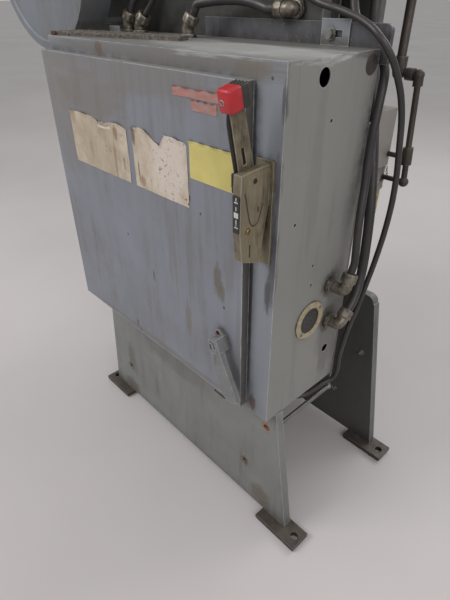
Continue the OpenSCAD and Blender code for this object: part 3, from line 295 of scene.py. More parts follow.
hose("hose_c", smoothed([
    (0.24, 0.15, 1.35), (0.24, 0.15, 1.308), (0.252, 0.135, 1.24), (0.285, 0.105, 1.16),
    (0.322, 0.075, 1.06), (0.35, 0.056, 0.96), (0.366, 0.045, 0.88), (0.373, 0.041, 0.8),
    (0.377, 0.036, 0.74), (0.382, 0.02, 0.695), side_gland(lower_seat, lower_lean, lower_reach, 0.062),
    side_gland(lower_seat, lower_lean, lower_reach, 0.042)]), 0.022)
hose("hose_d", smoothed([
    top_gland(0, 0.03), top_gland(0, 0.052), (-0.31, -0.032, 1.3), (-0.27, -0.015, 1.35),
    (-0.222, -0.002, 1.4), (-0.185, 0.004, 1.455), (-0.16, 0.005, 1.52), (-0.15, 0.004, 1.57),
    (-0.15, 0.006, 1.605), (-0.15, 0.019, 1.64), (-0.15, 0.04, 1.668), (-0.15, 0.04, 1.69)]), 0.017)
hose("hose_e", smoothed(smoothed([
    top_gland(2, 0.03), top_gland(2, 0.052), (-0.03, -0.028, 1.268), (0.03, -0.017, 1.267),
    (0.075, -0.012, 1.258), (0.09, -0.011, 1.254), (0.114, -0.011, 1.254)])), 0.02)


# Legs and side plates
# Flame-cut steel plate, 25 mm thick, brushed with grey machine paint that has rubbed off along the edges
# and rusted round the bolt holes. The plates stand on the foot pads and carry everything above.
def dress(material, *nodes, rounded=0.0008):
    """Gives CAD nodes a material, and rounds their sharp edges
    a little as real ones are, so that they catch light."""
    for node in nodes:
        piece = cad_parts[node]
        piece.data.materials.clear()
        piece.data.materials.append(material)
        if rounded:
            piece.modifiers.new("weld", "WELD").merge_threshold = 0.00001
            flat = piece.modifiers.new("flat", "DECIMATE")
            flat.decimate_type, flat.angle_limit = "DISSOLVE", math.radians(0.5)
            edge = piece.modifiers.new("edge", "BEVEL")
            edge.width, edge.segments, edge.limit_method = rounded, 2, "ANGLE"
            edge.angle_limit, edge.harden_normals = math.radians(35), False


leg_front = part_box("near_leg")[0][1]
hole_rust = [((x, leg_front, z), (0.017, 0.03, 0.02), rust, 0.9) for x, z, rust in (
    (0.327, 0.353, "#8f5f33"), (0.256, 0.158, "#54402f"), (-0.3285, 0.145, "#5a4230"))]
leg_stains_and_shadow = hole_rust + [
    ((-0.315, leg_front, 0.19), (0.025, 0.03, 0.075), "#4a463e", 0.5),
    ((0.32, leg_front, 0.06), (0.045, 0.05, 0.05), "#57493b", 0.6),
    ((-0.335, leg_front, 0.045), (0.05, 0.05, 0.04), "#57493b", 0.6),
    # A darker grey band across the top of the leg under the cabinet: painted shadow.
    ((-0.05, leg_front, 0.33), (0.22, 0.03, 0.045), "#5f5e5a", 0.5)]
leg_paint = finish(
    "worn_grey_machine_enamel", "#7a7b79", "#71716e", patch=0.3, grime=("#48443c", 0.5, 0.76, 0.03, 0.25),
    chip=("#4c3527", 0.006, 0.69, 0.72), edge=("#a3a19b", 0.003), dust="#8c857a", corner_shade=("#302c27", 0.06),
    stains_and_shades=leg_stains_and_shadow)
dress(leg_paint, "near_leg", rounded=0.0012)
# Faces of the frame's plates that look forward are painted darker: painted shade, for the far plate's inner
# face.
plate_paint = finish(
    "worn_grey_frame_enamel", "#686a69", "#5e5f5c", patch=0.3, grime=("#3e3a33", 0.46, 0.7, 0.03, 0.25),
    chip=("#4c3527", 0.006, 0.69, 0.72), edge=("#a3a19b", 0.003), dust="#857e73", corner_shade=("#2c2823", 0.08),
    shading_tints=(((0, -1, 0), "#42423e"),))
dress(plate_paint, "far_side_plate", "near_side_plate", "cross_beams", "frame_webs", rounded=0.0012)

# Hot-rolled steel, nearly black with oil, so that only its worn edges shine.
pad_iron = finish(
    "oily_dark_plate_steel", "#3b3431", "#4a423d", patch=0.08, grime=("#28231f", 0.45, 0.7, 0.03, 0.03),
    chip=("#6e4a31", 0.008, 0.6, 0.66), edge=("#8d8880", 0.002), dust=("#6f655b", 0.4), rough=(0.38, 0.62),
    metal=0.35)
dress(pad_iron, "foot_pads")

# Press bed, slide and drive
# Machined and cast pieces behind the cabinet: bright
# ground faces with an oil film, grey cast iron and bronze.
ground_steel = finish(
    "ground_steel_with_oil", "#8f8c86", "#7b776f", patch=0.1, grime=("#5a4f40", 0.55, 0.8), edge="#b5b1a9",
    rough=(0.26, 0.42), metal=0.85, grain=0.0015, depth=0.00003)
dress(ground_steel, "bolster_plate", "ram", "ram_cap", "ram_gibs", "ball_screw", "lock_nut", "crankshaft",
      "motor_shaft", "latch_tongue", "hinge_pins")
cast_iron = finish(
    "grey_sand_cast_iron", "#5f6062", "#545352", patch=0.15, grime="#38332d", edge="#8f8c86", dust="#7d766b",
    rough=(0.45, 0.65), metal=0.3, grain=0.004, depth=0.0003)
dress(cast_iron, "bed_plate", "pitman", "pitman_cap", "flywheel", "clutch_ring", "clutch_hub", "brake_drum",
      "motor_pulley")
bronze = finish(
    "bearing_bronze", "#9a7a45", "#86693c", patch=0.06, grime="#4a3c26", rough=(0.28, 0.45), metal=0.9,
    depth=0.00003)
dress(bronze, "crank_bushes", "flywheel_bush")
# Zinc plating gone dull: pale grey with soft highlights.
zinc_bolts = finish(
    "dull_zinc_bolt_steel", "#8c8a84", "#75726b", patch=0.03, grime="#4a4239", edge=("#aaa69d", 0.001),
    rough=(0.34, 0.5), metal=0.7)
dress(zinc_bolts, "hex_bolts", rounded=0.0005)
# Woven lining: brown and matt, with the weave as a coarse grain.
brake_lining = finish(
    "woven_brake_lining", "#4c4239", "#3f372f", patch=0.05, rough=(0.6, 0.8), grain=0.002, depth=0.0003)
dress(brake_lining, "brake_band")
# Sprayed enamel on rolled sheet: smooth and half glossy, with long oily runs down it.
guard_paint = finish(
    "light_blue_grey_enamel_on_sheet", "#71767d", "#686b70", patch=0.3,
    grime=("#5e5446", 0.46, 0.7, 0.03, 0.22), chip=("#5b4a3a", 0.005), edge="#b0afab", dust="#8d867a",
    corner_shade="#453d33")
dress(guard_paint, "flywheel_guard", "belt_guard", "crank_cover", "motor_plate")
# A darker enamel over a rough casting, a little glossier than the rest.
motor_paint = finish(
    "dark_grey_motor_enamel", "#5b6468", "#50575a", patch=0.2, grime="#3d3831", edge="#8e8d88",
    dust="#857e72", rough=(0.35, 0.55), grain=0.003, depth=0.00015)
dress(motor_paint, "motor_body")
# Rubber in a fabric wrap: matt black, with dust in the weave.
belt_rubber = finish(
    "fabric_wrapped_belt_rubber", "#26262a", "#302f31", patch=0.05, dust="#5f584e", rough=(0.55, 0.75),
    grain=0.0015, depth=0.0002)
dress(belt_rubber, "v_belts", rounded=0)

# Control cabinet
# A welded sheet-steel box with a lipped opening, and a door of bent sheet on three pin hinges. Blue-
# grey enamel, scuffed and stained, with rust where the sheet is cut and brown water marks on the front.
front_y, door_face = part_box("cabinet_body")[0][1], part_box("cabinet_door")[0][1]
body_stains_and_shadows = [
    # A painted shadow in the gap beside the door's right edge; the four marks after it are dark smears along
    # the corner, dirt with painted shadow of the handle housing.
    ((0.2895, front_y, 0.8), (0.0065, 0.012, 0.385), "#2f3036", 0.9),
    ((0.351, front_y, 1.135), (0.006, 0.01, 0.04), "#4b4a4d", 0.8),
    ((0.345, front_y, 1.01), (0.012, 0.01, 0.05), "#4e4d51", 0.6),
    ((0.345, front_y, 0.84), (0.012, 0.01, 0.11), "#46454b", 0.75),
    ((0.336, front_y, 0.77), (0.01, 0.01, 0.05), "#3f3e44", 0.8),
    ((0.3235, front_y, 1.169), (0.0035, 0.01, 0.0035), "#3b241c", 1.0),
    ((0.305, front_y, 0.448), (0.014, 0.012, 0.03), "#4a3029", 0.8),
    ((0.0, front_y, 1.18), (0.5, 0.012, 0.02), "#68625a", 0.65),
    ((-0.2, front_y, 1.178), (0.02, 0.01, 0.02), "#5d4c3a", 0.7),
    ((0.28, front_y, 1.176), (0.05, 0.01, 0.02), "#6b6355", 0.6),
    ((0.16, -0.15, 1.195), (0.27, 0.1, 0.02), "#c0bfbd", 0.8),
    ((-0.3, -0.1, 1.195), (0.2, 0.12, 0.02), "#5d5a55", 0.7),
    ((0.14, -0.02, 1.195), (0.36, 0.06, 0.02), "#4d4a45", 0.75),
    ((0.353, -0.15, 1.0), (0.01, 0.02, 0.2), "#6b6a66", 0.35),
    ((0.353, -0.03, 0.6), (0.01, 0.05, 0.18), "#55504a", 0.55),
    ((0.353, -0.045, 0.625), (0.01, 0.035, 0.04), "#36302b", 0.7),
    ((0.353, -0.057, 0.725), (0.01, 0.032, 0.034), "#3b342e", 0.65)]
# Faces that look forward are painted bluer and the top lighter: painted light, as it falls on them.
side_paint = finish(
    "grey_cabinet_enamel", "#858480", "#7e7d79", patch=0.35, grime=("#5a544d", 0.54, 0.84, 0.02, 0.35),
    chip=("#3f3630", 0.004, 0.71, 0.74), edge=("#b4b3b0", 0.0022), dust=("#7d7b77", 0.5), corner_shade="#2e2b29",
    shading_tints=(((0, -1, 0), "#7c8088"), ((0, 0, 1), "#8a8986")), stains_and_shades=body_stains_and_shadows)
dress(side_paint, "cabinet_body", rounded=0.0014)
# Old grease has turned this enamel nearly black between its pale worn edges.
rail_paint = finish(
    "grimy_rail_enamel", "#55555a", "#4a484a", patch=0.1, grime=("#2d2927", 0.4, 0.65, 0.02, 0.06),
    chip=("#6b655e", 0.004, 0.6, 0.68), edge=("#8f8d89", 0.002), dust="#6b645a", corner_shade="#1f1c1a")
dress(rail_paint, "cabinet_rail", rounded=0.0008)


def marks(deep, rows):
    """Stains on the door's face from rows of x, z, half width, half height, colour and strength."""
    return [((x, door_face, z), (wide, deep, high), colour, strength)
            for x, z, wide, high, colour, strength in rows]


door_marks = marks(0.03, [
    (-0.1, 1.14, 0.45, 0.042, "#706b65", 0.6),
    (-0.41, 1.02, 0.11, 0.19, "#7a7672", 0.6),
    (-0.24, 1.075, 0.2, 0.06, "#706a61", 0.65)]) + marks(0.02, [
    (0.211, 0.761, 0.016, 0.05, "#5e5549", 0.75),
    (0.225, 0.735, 0.01, 0.03, "#57503f", 0.6),
    (-0.036, 0.67, 0.005, 0.02, "#51483d", 0.7),
    (0.101, 0.6, 0.014, 0.06, "#6b645b", 0.6),
    (0.062, 0.73, 0.006, 0.15, "#6f6b68", 0.5),
    (0.111, 0.76, 0.007, 0.14, "#6a6767", 0.5),
    (-0.148, 0.46, 0.004, 0.018, "#3a332c", 0.9),
    (-0.134, 0.443, 0.006, 0.01, "#2e2823", 0.95),
    (-0.139, 0.753, 0.0035, 0.0045, "#332b25", 0.95),
    (0.161, 0.9, 0.003, 0.004, "#332b25", 0.95),
    (0.23, 0.7, 0.004, 0.005, "#3a302a", 0.9),
    (0.126, 0.925, 0.005, 0.009, "#2a2420", 0.95)]) + marks(0.03, [
    (-0.02, 0.445, 0.4, 0.012, "#6b6862", 0.6),
    (0.275, 0.6, 0.009, 0.2, "#6e6c6c", 0.5)])
# The door's enamel is bluer than the side's and streaked downwards, with chips on its edges. Its flange
# that looks right is darker: dirt, and painted shade from the handle housing.
door_paint = finish(
    "blue_grey_door_enamel", "#7d8089", "#76787f", patch=0.25, grime=("#5f574d", 0.46, 0.74, 0.022, 0.3),
    chip=("#3a342f", 0.0035, 0.66, 0.7), edge=("#b4b3b0", 0.0035), dust="#8a8780",
    corner_shade=("#2e2b29", 0.02), shading_tints=(((1, 0, 0), "#4a4843"),), stains_and_shades=door_marks)
dress(door_paint, "cabinet_door", rounded=0.003)
# Smooth white enamel, half glossy and a little yellow with age.
panel_white = finish(
    "white_panel_enamel", "#c9c9c4", "#bfbeb7", patch=0.3, grime="#a29c8f", rough=(0.35, 0.5))
dress(panel_white, "sub_panel")
# Phenolic mouldings: brown-black with a dull gloss, dusty on top.
device_plastic = finish(
    "black_phenolic_moulding", "#2f2d2b", "#373431", patch=0.05, dust=("#5c564d", 0.3), rough=(0.35, 0.5))
dress(device_plastic, "disconnect_switch", "panel_devices", rounded=0.0006)

# Latch and disconnect handle
# The latch is a painted casting on a square shaft; the handle
# a channel lever beside a pressed cover, in tan enamel.
latch_paint = finish(
    "worn_latch_enamel", "#77787b", "#6f6e6c", patch=0.05, grime=("#4a453e", 0.52, 0.74, 0.01, 0.03),
    chip=("#403830", 0.003), edge=("#b2afa8", 0.0022), corner_shade=("#262321", 0.018), rough=(0.4, 0.6))
dress(latch_paint, "door_latch", rounded=0.0012)
# Die-cast zinc: warm grey, half metallic, and brighter where it is rubbed.
latch_zinc = finish(
    "worn_die_cast_zinc", "#85847f", "#76736d", patch=0.04, grime=("#453e36", 0.5, 0.7, 0.01, 0.03),
    edge=("#b4b1a9", 0.0015), rough=(0.36, 0.55), metal=0.55)
# Tan enamel, brown with oil in streaks and with painted shade in its corners, and rubbed pale along its
# edges.
handle_enamel = finish(
    "tan_grey_handle_enamel", "#81765f", "#6f6551", patch=0.06, grime=("#3f372c", 0.44, 0.68, 0.012, 0.06),
    chip=("#332b24", 0.003, 0.66, 0.7), edge=("#a9a294", 0.002), corner_shade=("#241f1a", 0.018))
dress(handle_enamel, "disconnect_housing", rounded=0.0008)
# The same enamel, darker from oily hands and worn bright along the channel's edges.
lever_enamel = finish(
    "oily_lever_enamel", "#665c49", "#7c725c", patch=0.03, grime=("#332c22", 0.42, 0.64, 0.008, 0.05),
    chip=("#2d261f", 0.003, 0.62, 0.67), edge=("#b8ae98", 0.0024), corner_shade=("#1f1a16", 0.012))
dress(lever_enamel, "disconnect_lever", rounded=0.0008)

# Cabinet fittings
# The receptacle's cream ring is a urea moulding round a black insert, screwed to the cabinet's
# side. A pressed steel plug closes the hole above it, and the conduit fittings are cast zinc.
ring_cream = finish(
    "cream_urea_ring", "#a89b80", "#978a70", patch=0.02, grime=("#5e5443", 0.5, 0.72, 0.01, 0.01),
    edge=("#8b7c5f", 0.001), corner_shade=("#2e2720", 0.006), rough=(0.35, 0.5))
dress(ring_cream, "receptacle_ring")
# Black moulding, a little glossy, with grey dust on what looks up.
insert_black = finish(
    "black_receptacle_insert", "#232120", "#2d2a28", patch=0.02, dust=("#4d4740", 0.3), rough=(0.35, 0.5))
dress(insert_black, "receptacle_insert", rounded=0.0004)
# Plated steel gone brown-black, with a thin bright rim.
plug_steel = finish(
    "tarnished_plug_steel", "#403a39", "#4d4542", patch=0.02, grime="#2a2422", edge=("#6d655e", 0.001),
    rough=(0.4, 0.6), metal=0.3)
dress(plug_steel, "hole_plug", rounded=0.0005)
# Cast zinc: greasy, with painted shade in its hollows, and bright on its worn ridges.
fitting_zinc = finish(
    "dirty_cast_zinc_fittings", "#8a8277", "#6b6257", patch=0.02, grime=("#352e27", 0.42, 0.62, 0.01, 0.02),
    edge=("#c0bbb0", 0.001), corner_shade=("#211c18", 0.012), rough=(0.3, 0.5), metal=0.6)

# Pipes and air fittings
# Threaded black iron pipe with malleable fittings brings air along the far side to a grey filter box and
# the clutch's valve. A thin steel tube drains the box, and a grey junction box is screwed to the frame.
box_paint = finish(
    "grey_box_enamel", "#918b85", "#87827b", patch=0.15, grime="#544c42", edge="#a3a29d", dust="#7d7568",
    corner_shade="#3b352e")
dress(box_paint, "junction_box", "air_filter")
# Black iron with a thin brown rust, dull but metallic on its edges.
pipe_iron = finish(
    "black_iron_pipe", "#3f3a36", "#4a423b", patch=0.05, grime=("#5b4534", 0.55, 0.75, 0.01, 0.03),
    edge="#75706a", dust="#665d52", rough=(0.4, 0.6), metal=0.4)
dress(pipe_iron, "air_pipe", "clutch_valve")
# Drawn steel tube: pale, dull and stained.
drain_steel = finish(
    "dull_drain_tube_steel", "#86847f", "#75726c", patch=0.05, grime="#4d463d", rough=(0.32, 0.5), metal=0.7)
dress(drain_steel, "drain_tube", rounded=0)


# Handle grip
# A two-part moulding pressed over the lever's end: the red half faces the
# operator and has a padlock hole with a steel eyelet, the black half
# behind it has finger ribs on top. Both are glossy and a little scratched.
def skin(name, grids, material, body, keep_sharp=40.0):
    """One mesh from grids of points, each shaped (rows, columns, 3): every four neighbours make a face.
    Points that meet are welded, which closes seams and poles, and the faces are turned outwards."""
    corners, faces, first = [], [], 0
    for grid in grids:
        rows, columns = grid.shape[:2]
        place = first + np.arange(rows * columns).reshape(rows, columns)
        faces.append(np.stack([place[:-1, :-1], place[:-1, 1:], place[1:, 1:], place[1:, :-1]],
                              axis=-1).reshape(-1, 4))
        corners.append(grid.reshape(-1, 3))
        first += rows * columns
    mesh = bpy.data.meshes.new(name)
    mesh.from_pydata(np.concatenate(corners).tolist(), [], np.concatenate(faces).tolist())
    shell = bmesh.new()
    shell.from_mesh(mesh)
    bmesh.ops.remove_doubles(shell, verts=shell.verts, dist=0.000005)
    bmesh.ops.dissolve_degenerate(shell, edges=shell.edges, dist=0.000002)
    bmesh.ops.recalc_face_normals(shell, faces=shell.faces)
    shell.to_mesh(mesh)
    shell.free()
    mesh.shade_smooth()
    mesh.set_sharp_from_angle(angle=math.radians(keep_sharp))
    mesh.materials.append(material)
    piece = placed(name, mesh)
    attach(piece, body)
    return piece


def rounded_box(centre, half, round_by):
    """A box with round edges: each point of a ball is
    pushed out by the box's half size less the rounding."""
    steps = 5
    quarter = (np.arange(steps) + 0.5) / steps * math.pi / 2
    ring = np.concatenate([quarter + turn * math.pi / 2 for turn in range(4)])
    ring = np.append(ring, ring[0])
    rise = np.concatenate([[-math.pi / 2], quarter - math.pi / 2, quarter, [math.pi / 2]])
    up, round_ = np.meshgrid(rise, ring, indexing="ij")
    ball = np.stack([np.cos(up) * np.cos(round_), np.cos(up) * np.sin(round_), np.sin(up)], axis=-1)
    out = ball * round_by + np.sign(np.round(ball, 6)) * (np.array(half) - round_by)
    out[0] = (0, 0, -half[2])
    out[-1] = (0, 0, half[2])
    return out + np.array(centre)


def turned(profile, at, along, sides=48, corners=0, start=0.0):
    """A profile of (distance along, radius) pairs turned about a line. With corners, each
    radius is cut back to a polygon with that many sides where it is larger, as on a nut."""
    profile = np.array(profile, dtype=float)
    along = np.array(along, dtype=float) / np.linalg.norm(along)
    aside = np.cross(along, (0.0, 0.0, 1.0) if abs(along[2]) < 0.9 else (1.0, 0.0, 0.0))
    aside = aside / np.linalg.norm(aside)
    third = np.cross(along, aside)
    turn = np.linspace(0, 2 * math.pi, sides + 1)
    radius = np.repeat(profile[:, 1:2], sides + 1, axis=1)
    if corners:
        part = 2 * math.pi / corners
        flat = radius.max() * math.cos(part / 2) / np.cos((turn % part) - part / 2)
        radius = np.minimum(radius, flat[None, :])
    turn = turn + start
    return (np.array(at) + profile[:, 0, None, None] * along
            + radius[..., None] * (np.cos(turn)[:, None] * aside + np.sin(turn)[:, None] * third)[None])


def lean(points, pivot, angle):
    """Points turned about a line along X through the pivot, (y, z), by an angle."""
    away = points - np.array([0, *pivot])
    y = away[..., 1] * math.cos(angle) - away[..., 2] * math.sin(angle)
    z = away[..., 1] * math.sin(angle) + away[..., 2] * math.cos(angle)
    return np.stack([away[..., 0], y + pivot[0], z + pivot[1]], axis=-1)


lever_pivot, lever_lean = (-0.272, 0.955), math.radians(13)
grip_middle, grip_x = 0.202, 0.317


def on_lever(x, forward, up, half, round_by):
    """A box with round edges, placed from the lever's pivot by how far it is forward and up the lever."""
    return lean(rounded_box((x, lever_pivot[0] + forward, lever_pivot[1] + up), half, round_by),
                lever_pivot, lever_lean)


grip_red = finish(
    "red_moulded_grip", "#b3262d", "#a32229", patch=0.04, grime=("#5f2b2a", 0.55, 0.85, 0.01, 0.02),
    edge=("#cf5c60", 0.0015), rough=(0.28, 0.42))
red_half = on_lever(grip_x, -0.0155, grip_middle, (0.015, 0.0145, 0.0185), 0.0055)
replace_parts(skin("red_grip_front", [red_half], grip_red, "disconnect_handle"), "lever_grip")
# The black half is drier and dustier than the red one.
grip_black = finish(
    "black_moulded_grip", "#26241f", "#33312b", patch=0.03, dust=("#5d574c", 0.4), rough=(0.32, 0.5))
black_half = [on_lever(grip_x, 0.0045, grip_middle, (0.0145, 0.0085, 0.0175), 0.003)]
black_half += [on_lever(grip_x - 0.0105 + 0.007 * rib, 0.0045, grip_middle + 0.0175, (0.0016, 0.008, 0.0012),
                        0.0008) for rib in range(4)]
skin("black_grip_back", black_half, grip_black, "disconnect_handle")
eyelet = turned([(0.0012, 0.0), (0.0012, 0.0026), (-0.0004, 0.003), (-0.0008, 0.004), (-0.0002, 0.005),
                 (0.0012, 0.0052)],
                (grip_x - 0.004, lever_pivot[0] - 0.03, lever_pivot[1] + grip_middle - 0.001), (0, 1, 0))
# Painted shade for the insides of holes and slots: matt and nearly black.
hollow_shade = finish("painted_hollow_shade", "#1b1817", "#241f1d", patch=0.02, rough=(0.5, 0.7))
# A dark plate behind the lever's slot, where the cut goes through: painted shade.
lever_slot_shade_plate = on_lever(0.3074, -0.0015, 0.103, (0.0006, 0.006, 0.018), 0.0004)
skin("lever_slot_shade", [lever_slot_shade_plate], hollow_shade, "disconnect_handle")
skin("padlock_eyelet", [lean(eyelet, lever_pivot, lever_lean)], latch_zinc, "disconnect_handle")

# Handle linkage rod
# A black-oxide steel rod of 6 mm with a bend in it, from
# the grip down to a sliding block on the lever's front.
def bent_rod(knots, thickness, around=20, between=8):
    """A round rod along a smooth curve through its knots (cubic between each two, its slope
    from the neighbours), carried as a circle square to the curve, with its ends closed."""
    knots = np.array(knots, dtype=float)
    ahead = np.concatenate([knots[:1] * 2 - knots[1:2], knots, knots[-1:] * 2 - knots[-2:-1]])
    t = np.linspace(0, 1, between, endpoint=False)[:, None]
    line = [0.5 * (2 * b + (c - a) * t + (2 * a - 5 * b + 4 * c - d) * t ** 2
                   + (3 * b - a - 3 * c + d) * t ** 3)
            for a, b, c, d in zip(ahead[:-3], ahead[1:-2], ahead[2:-1], ahead[3:])]
    line = np.concatenate(line + [knots[-1:]])
    slope = np.gradient(line, axis=0)
    slope /= np.linalg.norm(slope, axis=1, keepdims=True)
    side = np.cross(slope, (0.31, 0.17, 0.93))
    side /= np.linalg.norm(side, axis=1, keepdims=True)
    other = np.cross(slope, side)
    turn = np.linspace(0, 2 * math.pi, around + 1)
    wide = np.broadcast_to(np.asarray(thickness, dtype=float) / 2, (len(line),))[:, None, None]
    circle = np.cos(turn)[None, :, None] * side[:, None] + np.sin(turn)[None, :, None] * other[:, None]
    ring = line[:, None] + wide * circle
    ends = [np.broadcast_to(line[i], ring[0].shape) for i in (0, -1)]
    return np.concatenate([ends[0][None], ring, ends[1][None]])


rod_black = finish(
    "black_oxide_rod", "#242326", "#2f2c2b", patch=0.03, grime="#4b4239", edge="#6d6862", rough=(0.35, 0.5),
    metal=0.3)
rod_x = 0.3055
linkage = [bent_rod([(rod_x, y, z) for y, z in ((-0.3255, 1.128), (-0.3265, 1.112), (-0.3235, 1.094),
                                                (-0.3175, 1.066), (-0.311, 1.036), (-0.3085, 1.02))], 0.0058),
           rounded_box((rod_x, -0.3095, 1.016), (0.0062, 0.0052, 0.0125), 0.0018),
           rounded_box((rod_x, -0.3105, 1.0), (0.005, 0.0042, 0.0055), 0.0014)]
skin("black_linkage_rod", linkage, rod_black, "disconnect_handle")

# Handle housing trim
# The pressed cover has a raised tongue, a rolled lip round its hood, a padlock
# hole and two slots drawn as painted shade, a brass screw and a label strip down its front with plain on and
# off marks.
cover_x = 0.331
lip = bent_rod([(cover_x - 0.001, y, z) for y, z in (
    (-0.3165, 1.03), (-0.3, 1.0325), (-0.276, 1.035), (-0.252, 1.0362))], 0.0046)
tongue = bent_rod([(cover_x, y, z) for y, z in (
    (-0.312, 1.0), (-0.3085, 0.985), (-0.3035, 0.962), (-0.2985, 0.944), (-0.29, 0.9355),
    (-0.281, 0.9385), (-0.2745, 0.95), (-0.268, 0.972))], 0.0022)
skin("housing_lip", [lip], handle_enamel, "press")
# A dark brown line round the tongue, with a faint shine.
dark_tongue_outline = finish("dark_brown_tongue_outline", "#372e25", "#473c30", patch=0.01, rough=(0.5, 0.7))
skin("housing_tongue_line", [tongue], dark_tongue_outline, "press")
# The padlock hole and two slots: dark shapes on the cover, painted shade.
hole_shade_x = cover_x + 0.0001
hole_shades = [turned([(0.0, 0.0), (0.0, 0.004), (0.0004, 0.0044), (0.0, 0.0048)],
                (hole_shade_x, -0.288, 1.0165), (1, 0, 0)),
         rounded_box((hole_shade_x, -0.2975, 0.888), (0.0006, 0.0013, 0.0125), 0.0005),
         rounded_box((hole_shade_x, -0.279, 0.964), (0.0005, 0.0012, 0.005), 0.0004)]
skin("housing_hole_shades", hole_shades, hollow_shade, "press")
# Turned brass: yellow and glossy, dulled brown by handling.
brass = finish(
    "tarnished_brass", "#a98f52", "#8c7542", patch=0.01, grime="#4b3d24", rough=(0.25, 0.4), metal=0.9)
screw = [turned([(0.0, 0.0052), (0.0014, 0.005), (0.0026, 0.0036), (0.003, 0.0)], (cover_x, -0.303, 0.929),
                (1, 0, 0))]
skin("brass_cover_screw", screw, brass, "press")
# The screw's slot: a dark bar on its head, painted shade.
slot_shade = lean(rounded_box((cover_x + 0.003, -0.303, 0.929), (0.0004, 0.0007, 0.0044), 0.0003),
                (-0.303, 0.929), math.radians(-30))
skin("screw_slot_shade", [slot_shade], hollow_shade, "press")
# Black anodised strip under filled white marks, both dull and dirty.
label_black = finish(
    "black_label_strip", "#1e1d1f", "#29282a", patch=0.02, grime="#4c463e", rough=(0.4, 0.55))
label_white = finish(
    "white_label_marks", "#c9c6bf", "#b3afa6", patch=0.01, grime="#6e675c", rough=(0.5, 0.6))
strip_x, strip_y, strip_z = 0.3215, -0.3232, 0.962
skin("indicator_strip", [lean(rounded_box((strip_x, strip_y, strip_z), (0.0085, 0.0004, 0.034), 0.0003),
                              (strip_y, strip_z), 0.012)], label_black, "press")
strokes = [rounded_box((strip_x, strip_y - 0.0003, z), (wide, 0.0004, high), 0.0003) for wide, high, z in (
    (0.0052, 0.005, strip_z), (0.0042, 0.0012, 0.985), (0.001, 0.003, 0.985 + 0.0055),
    (0.0042, 0.0012, 0.939), (0.001, 0.003, 0.939 + 0.0055), (0.0012, 0.0036, 0.974), (0.0012, 0.0036, 0.95))]
skin("indicator_marks", [lean(stroke, (strip_y, strip_z), 0.012) for stroke in strokes], label_white, "press")


# Old papers on the door
# Two schedule papers glued to the door long ago: yellowed, water-stained, torn along their tops and
# rubbed thin, and a plain faded yellow sticker beside them. Nothing is written on them any more.
def torn_sheet(name, left, right_, bottom, top, top_line, ragged, seed, material):
    """A thin sheet on the door's face: its top edge follows a line of (share
    of width, share of height) knots, every edge wanders by a sum of sines with
    seeded phases, and the sheet ripples off the door by under a millimetre."""
    dice = np.random.default_rng(seed)
    columns, rows = 90, 60
    u, v = np.meshgrid(np.linspace(0, 1, columns), np.linspace(0, 1, rows), indexing="xy")

    def wander(t, size):
        waves = np.array([3, 7, 13, 29, 53])
        phase = dice.uniform(0, 2 * math.pi, 5)
        return size * (np.sin(t[..., None] * waves * math.pi + phase) / np.sqrt(waves)).sum(-1)

    knots = np.array(top_line)
    high = top - (top - bottom) * (1 - np.interp(u, knots[:, 0], knots[:, 1])) + wander(u, ragged * 1.2)
    low = bottom + wander(u, ragged * 0.35)
    x0, x1 = left + wander(v, ragged * 0.5), right_ + wander(v, ragged * 0.6)
    x = x0 + (x1 - x0) * u
    z = low + (high - low) * v
    lift = 0.0003 + 0.0004 * (1 + np.sin(u * 9 + dice.uniform(0, 6)) * np.sin(v * 7 + dice.uniform(0, 6)))
    curl = 0.0025 * np.clip(v - 0.93, 0, 1) / 0.07 * (0.5 + 0.5 * np.sin(u * 23 + 1))
    front = np.stack([x, door_face - lift - curl, z], axis=-1)
    back = front + np.array([0, 0.00025, 0])
    rims = [np.stack([front[0], back[0]]), np.stack([front[-1], back[-1]]),
            np.stack([front[:, 0], back[:, 0]]), np.stack([front[:, -1], back[:, -1]])]
    return skin(name, [front, back] + rims, material, "door", keep_sharp=60)


paper_marks = marks(0.02, [
    (-0.338, 1.025, 0.02, 0.03, "#8a765f", 0.6),
    (-0.262, 0.955, 0.01, 0.03, "#7f6951", 0.5),
    (-0.15, 0.945, 0.006, 0.06, "#6d5541", 0.6),
    (-0.138, 1.01, 0.012, 0.02, "#6d5136", 0.75),
    (-0.112, 0.945, 0.006, 0.02, "#74604d", 0.55),
    (-0.063, 1.02, 0.01, 0.026, "#5f4d3c", 0.85),
    (-0.052, 0.945, 0.003, 0.03, "#5b4a3c", 0.75),
    (-0.04, 0.92, 0.014, 0.014, "#83694b", 0.6),
    (-0.23, 0.965, 0.15, 0.1, "#97866f", 0.45),
    (0.065, 0.985, 0.08, 0.11, "#c9bdb3", 0.8)])
old_paper = finish(
    "yellowed_stained_paper", "#ad9d89", "#bfb3a3", patch=0.04, grime=("#7c6850", 0.5, 0.78, 0.012, 0.03),
    chip=("#57463a", 0.008, 0.6, 0.66), rough=(0.75, 0.9), grain=0.001, depth=0.00004, stains_and_shades=paper_marks)
torn_sheet("old_paper_left", -0.352, -0.09, 0.903, 1.035,
           [(0, 0.98), (0.38, 1.0), (0.5, 0.95), (0.56, 0.91), (0.7, 0.95), (0.8, 0.98), (0.88, 0.99),
            (0.95, 0.97), (1, 0.93)], 0.001, 11, old_paper)
torn_sheet("old_paper_right", -0.068, 0.126, 0.903, 1.04,
           [(0, 0.97), (0.1, 0.99), (0.26, 0.99), (0.36, 0.92), (0.44, 0.84), (0.55, 0.82), (0.6, 0.93),
            (0.63, 1.0), (0.82, 1.0), (0.95, 0.97), (1, 0.92)], 0.001, 23, old_paper)
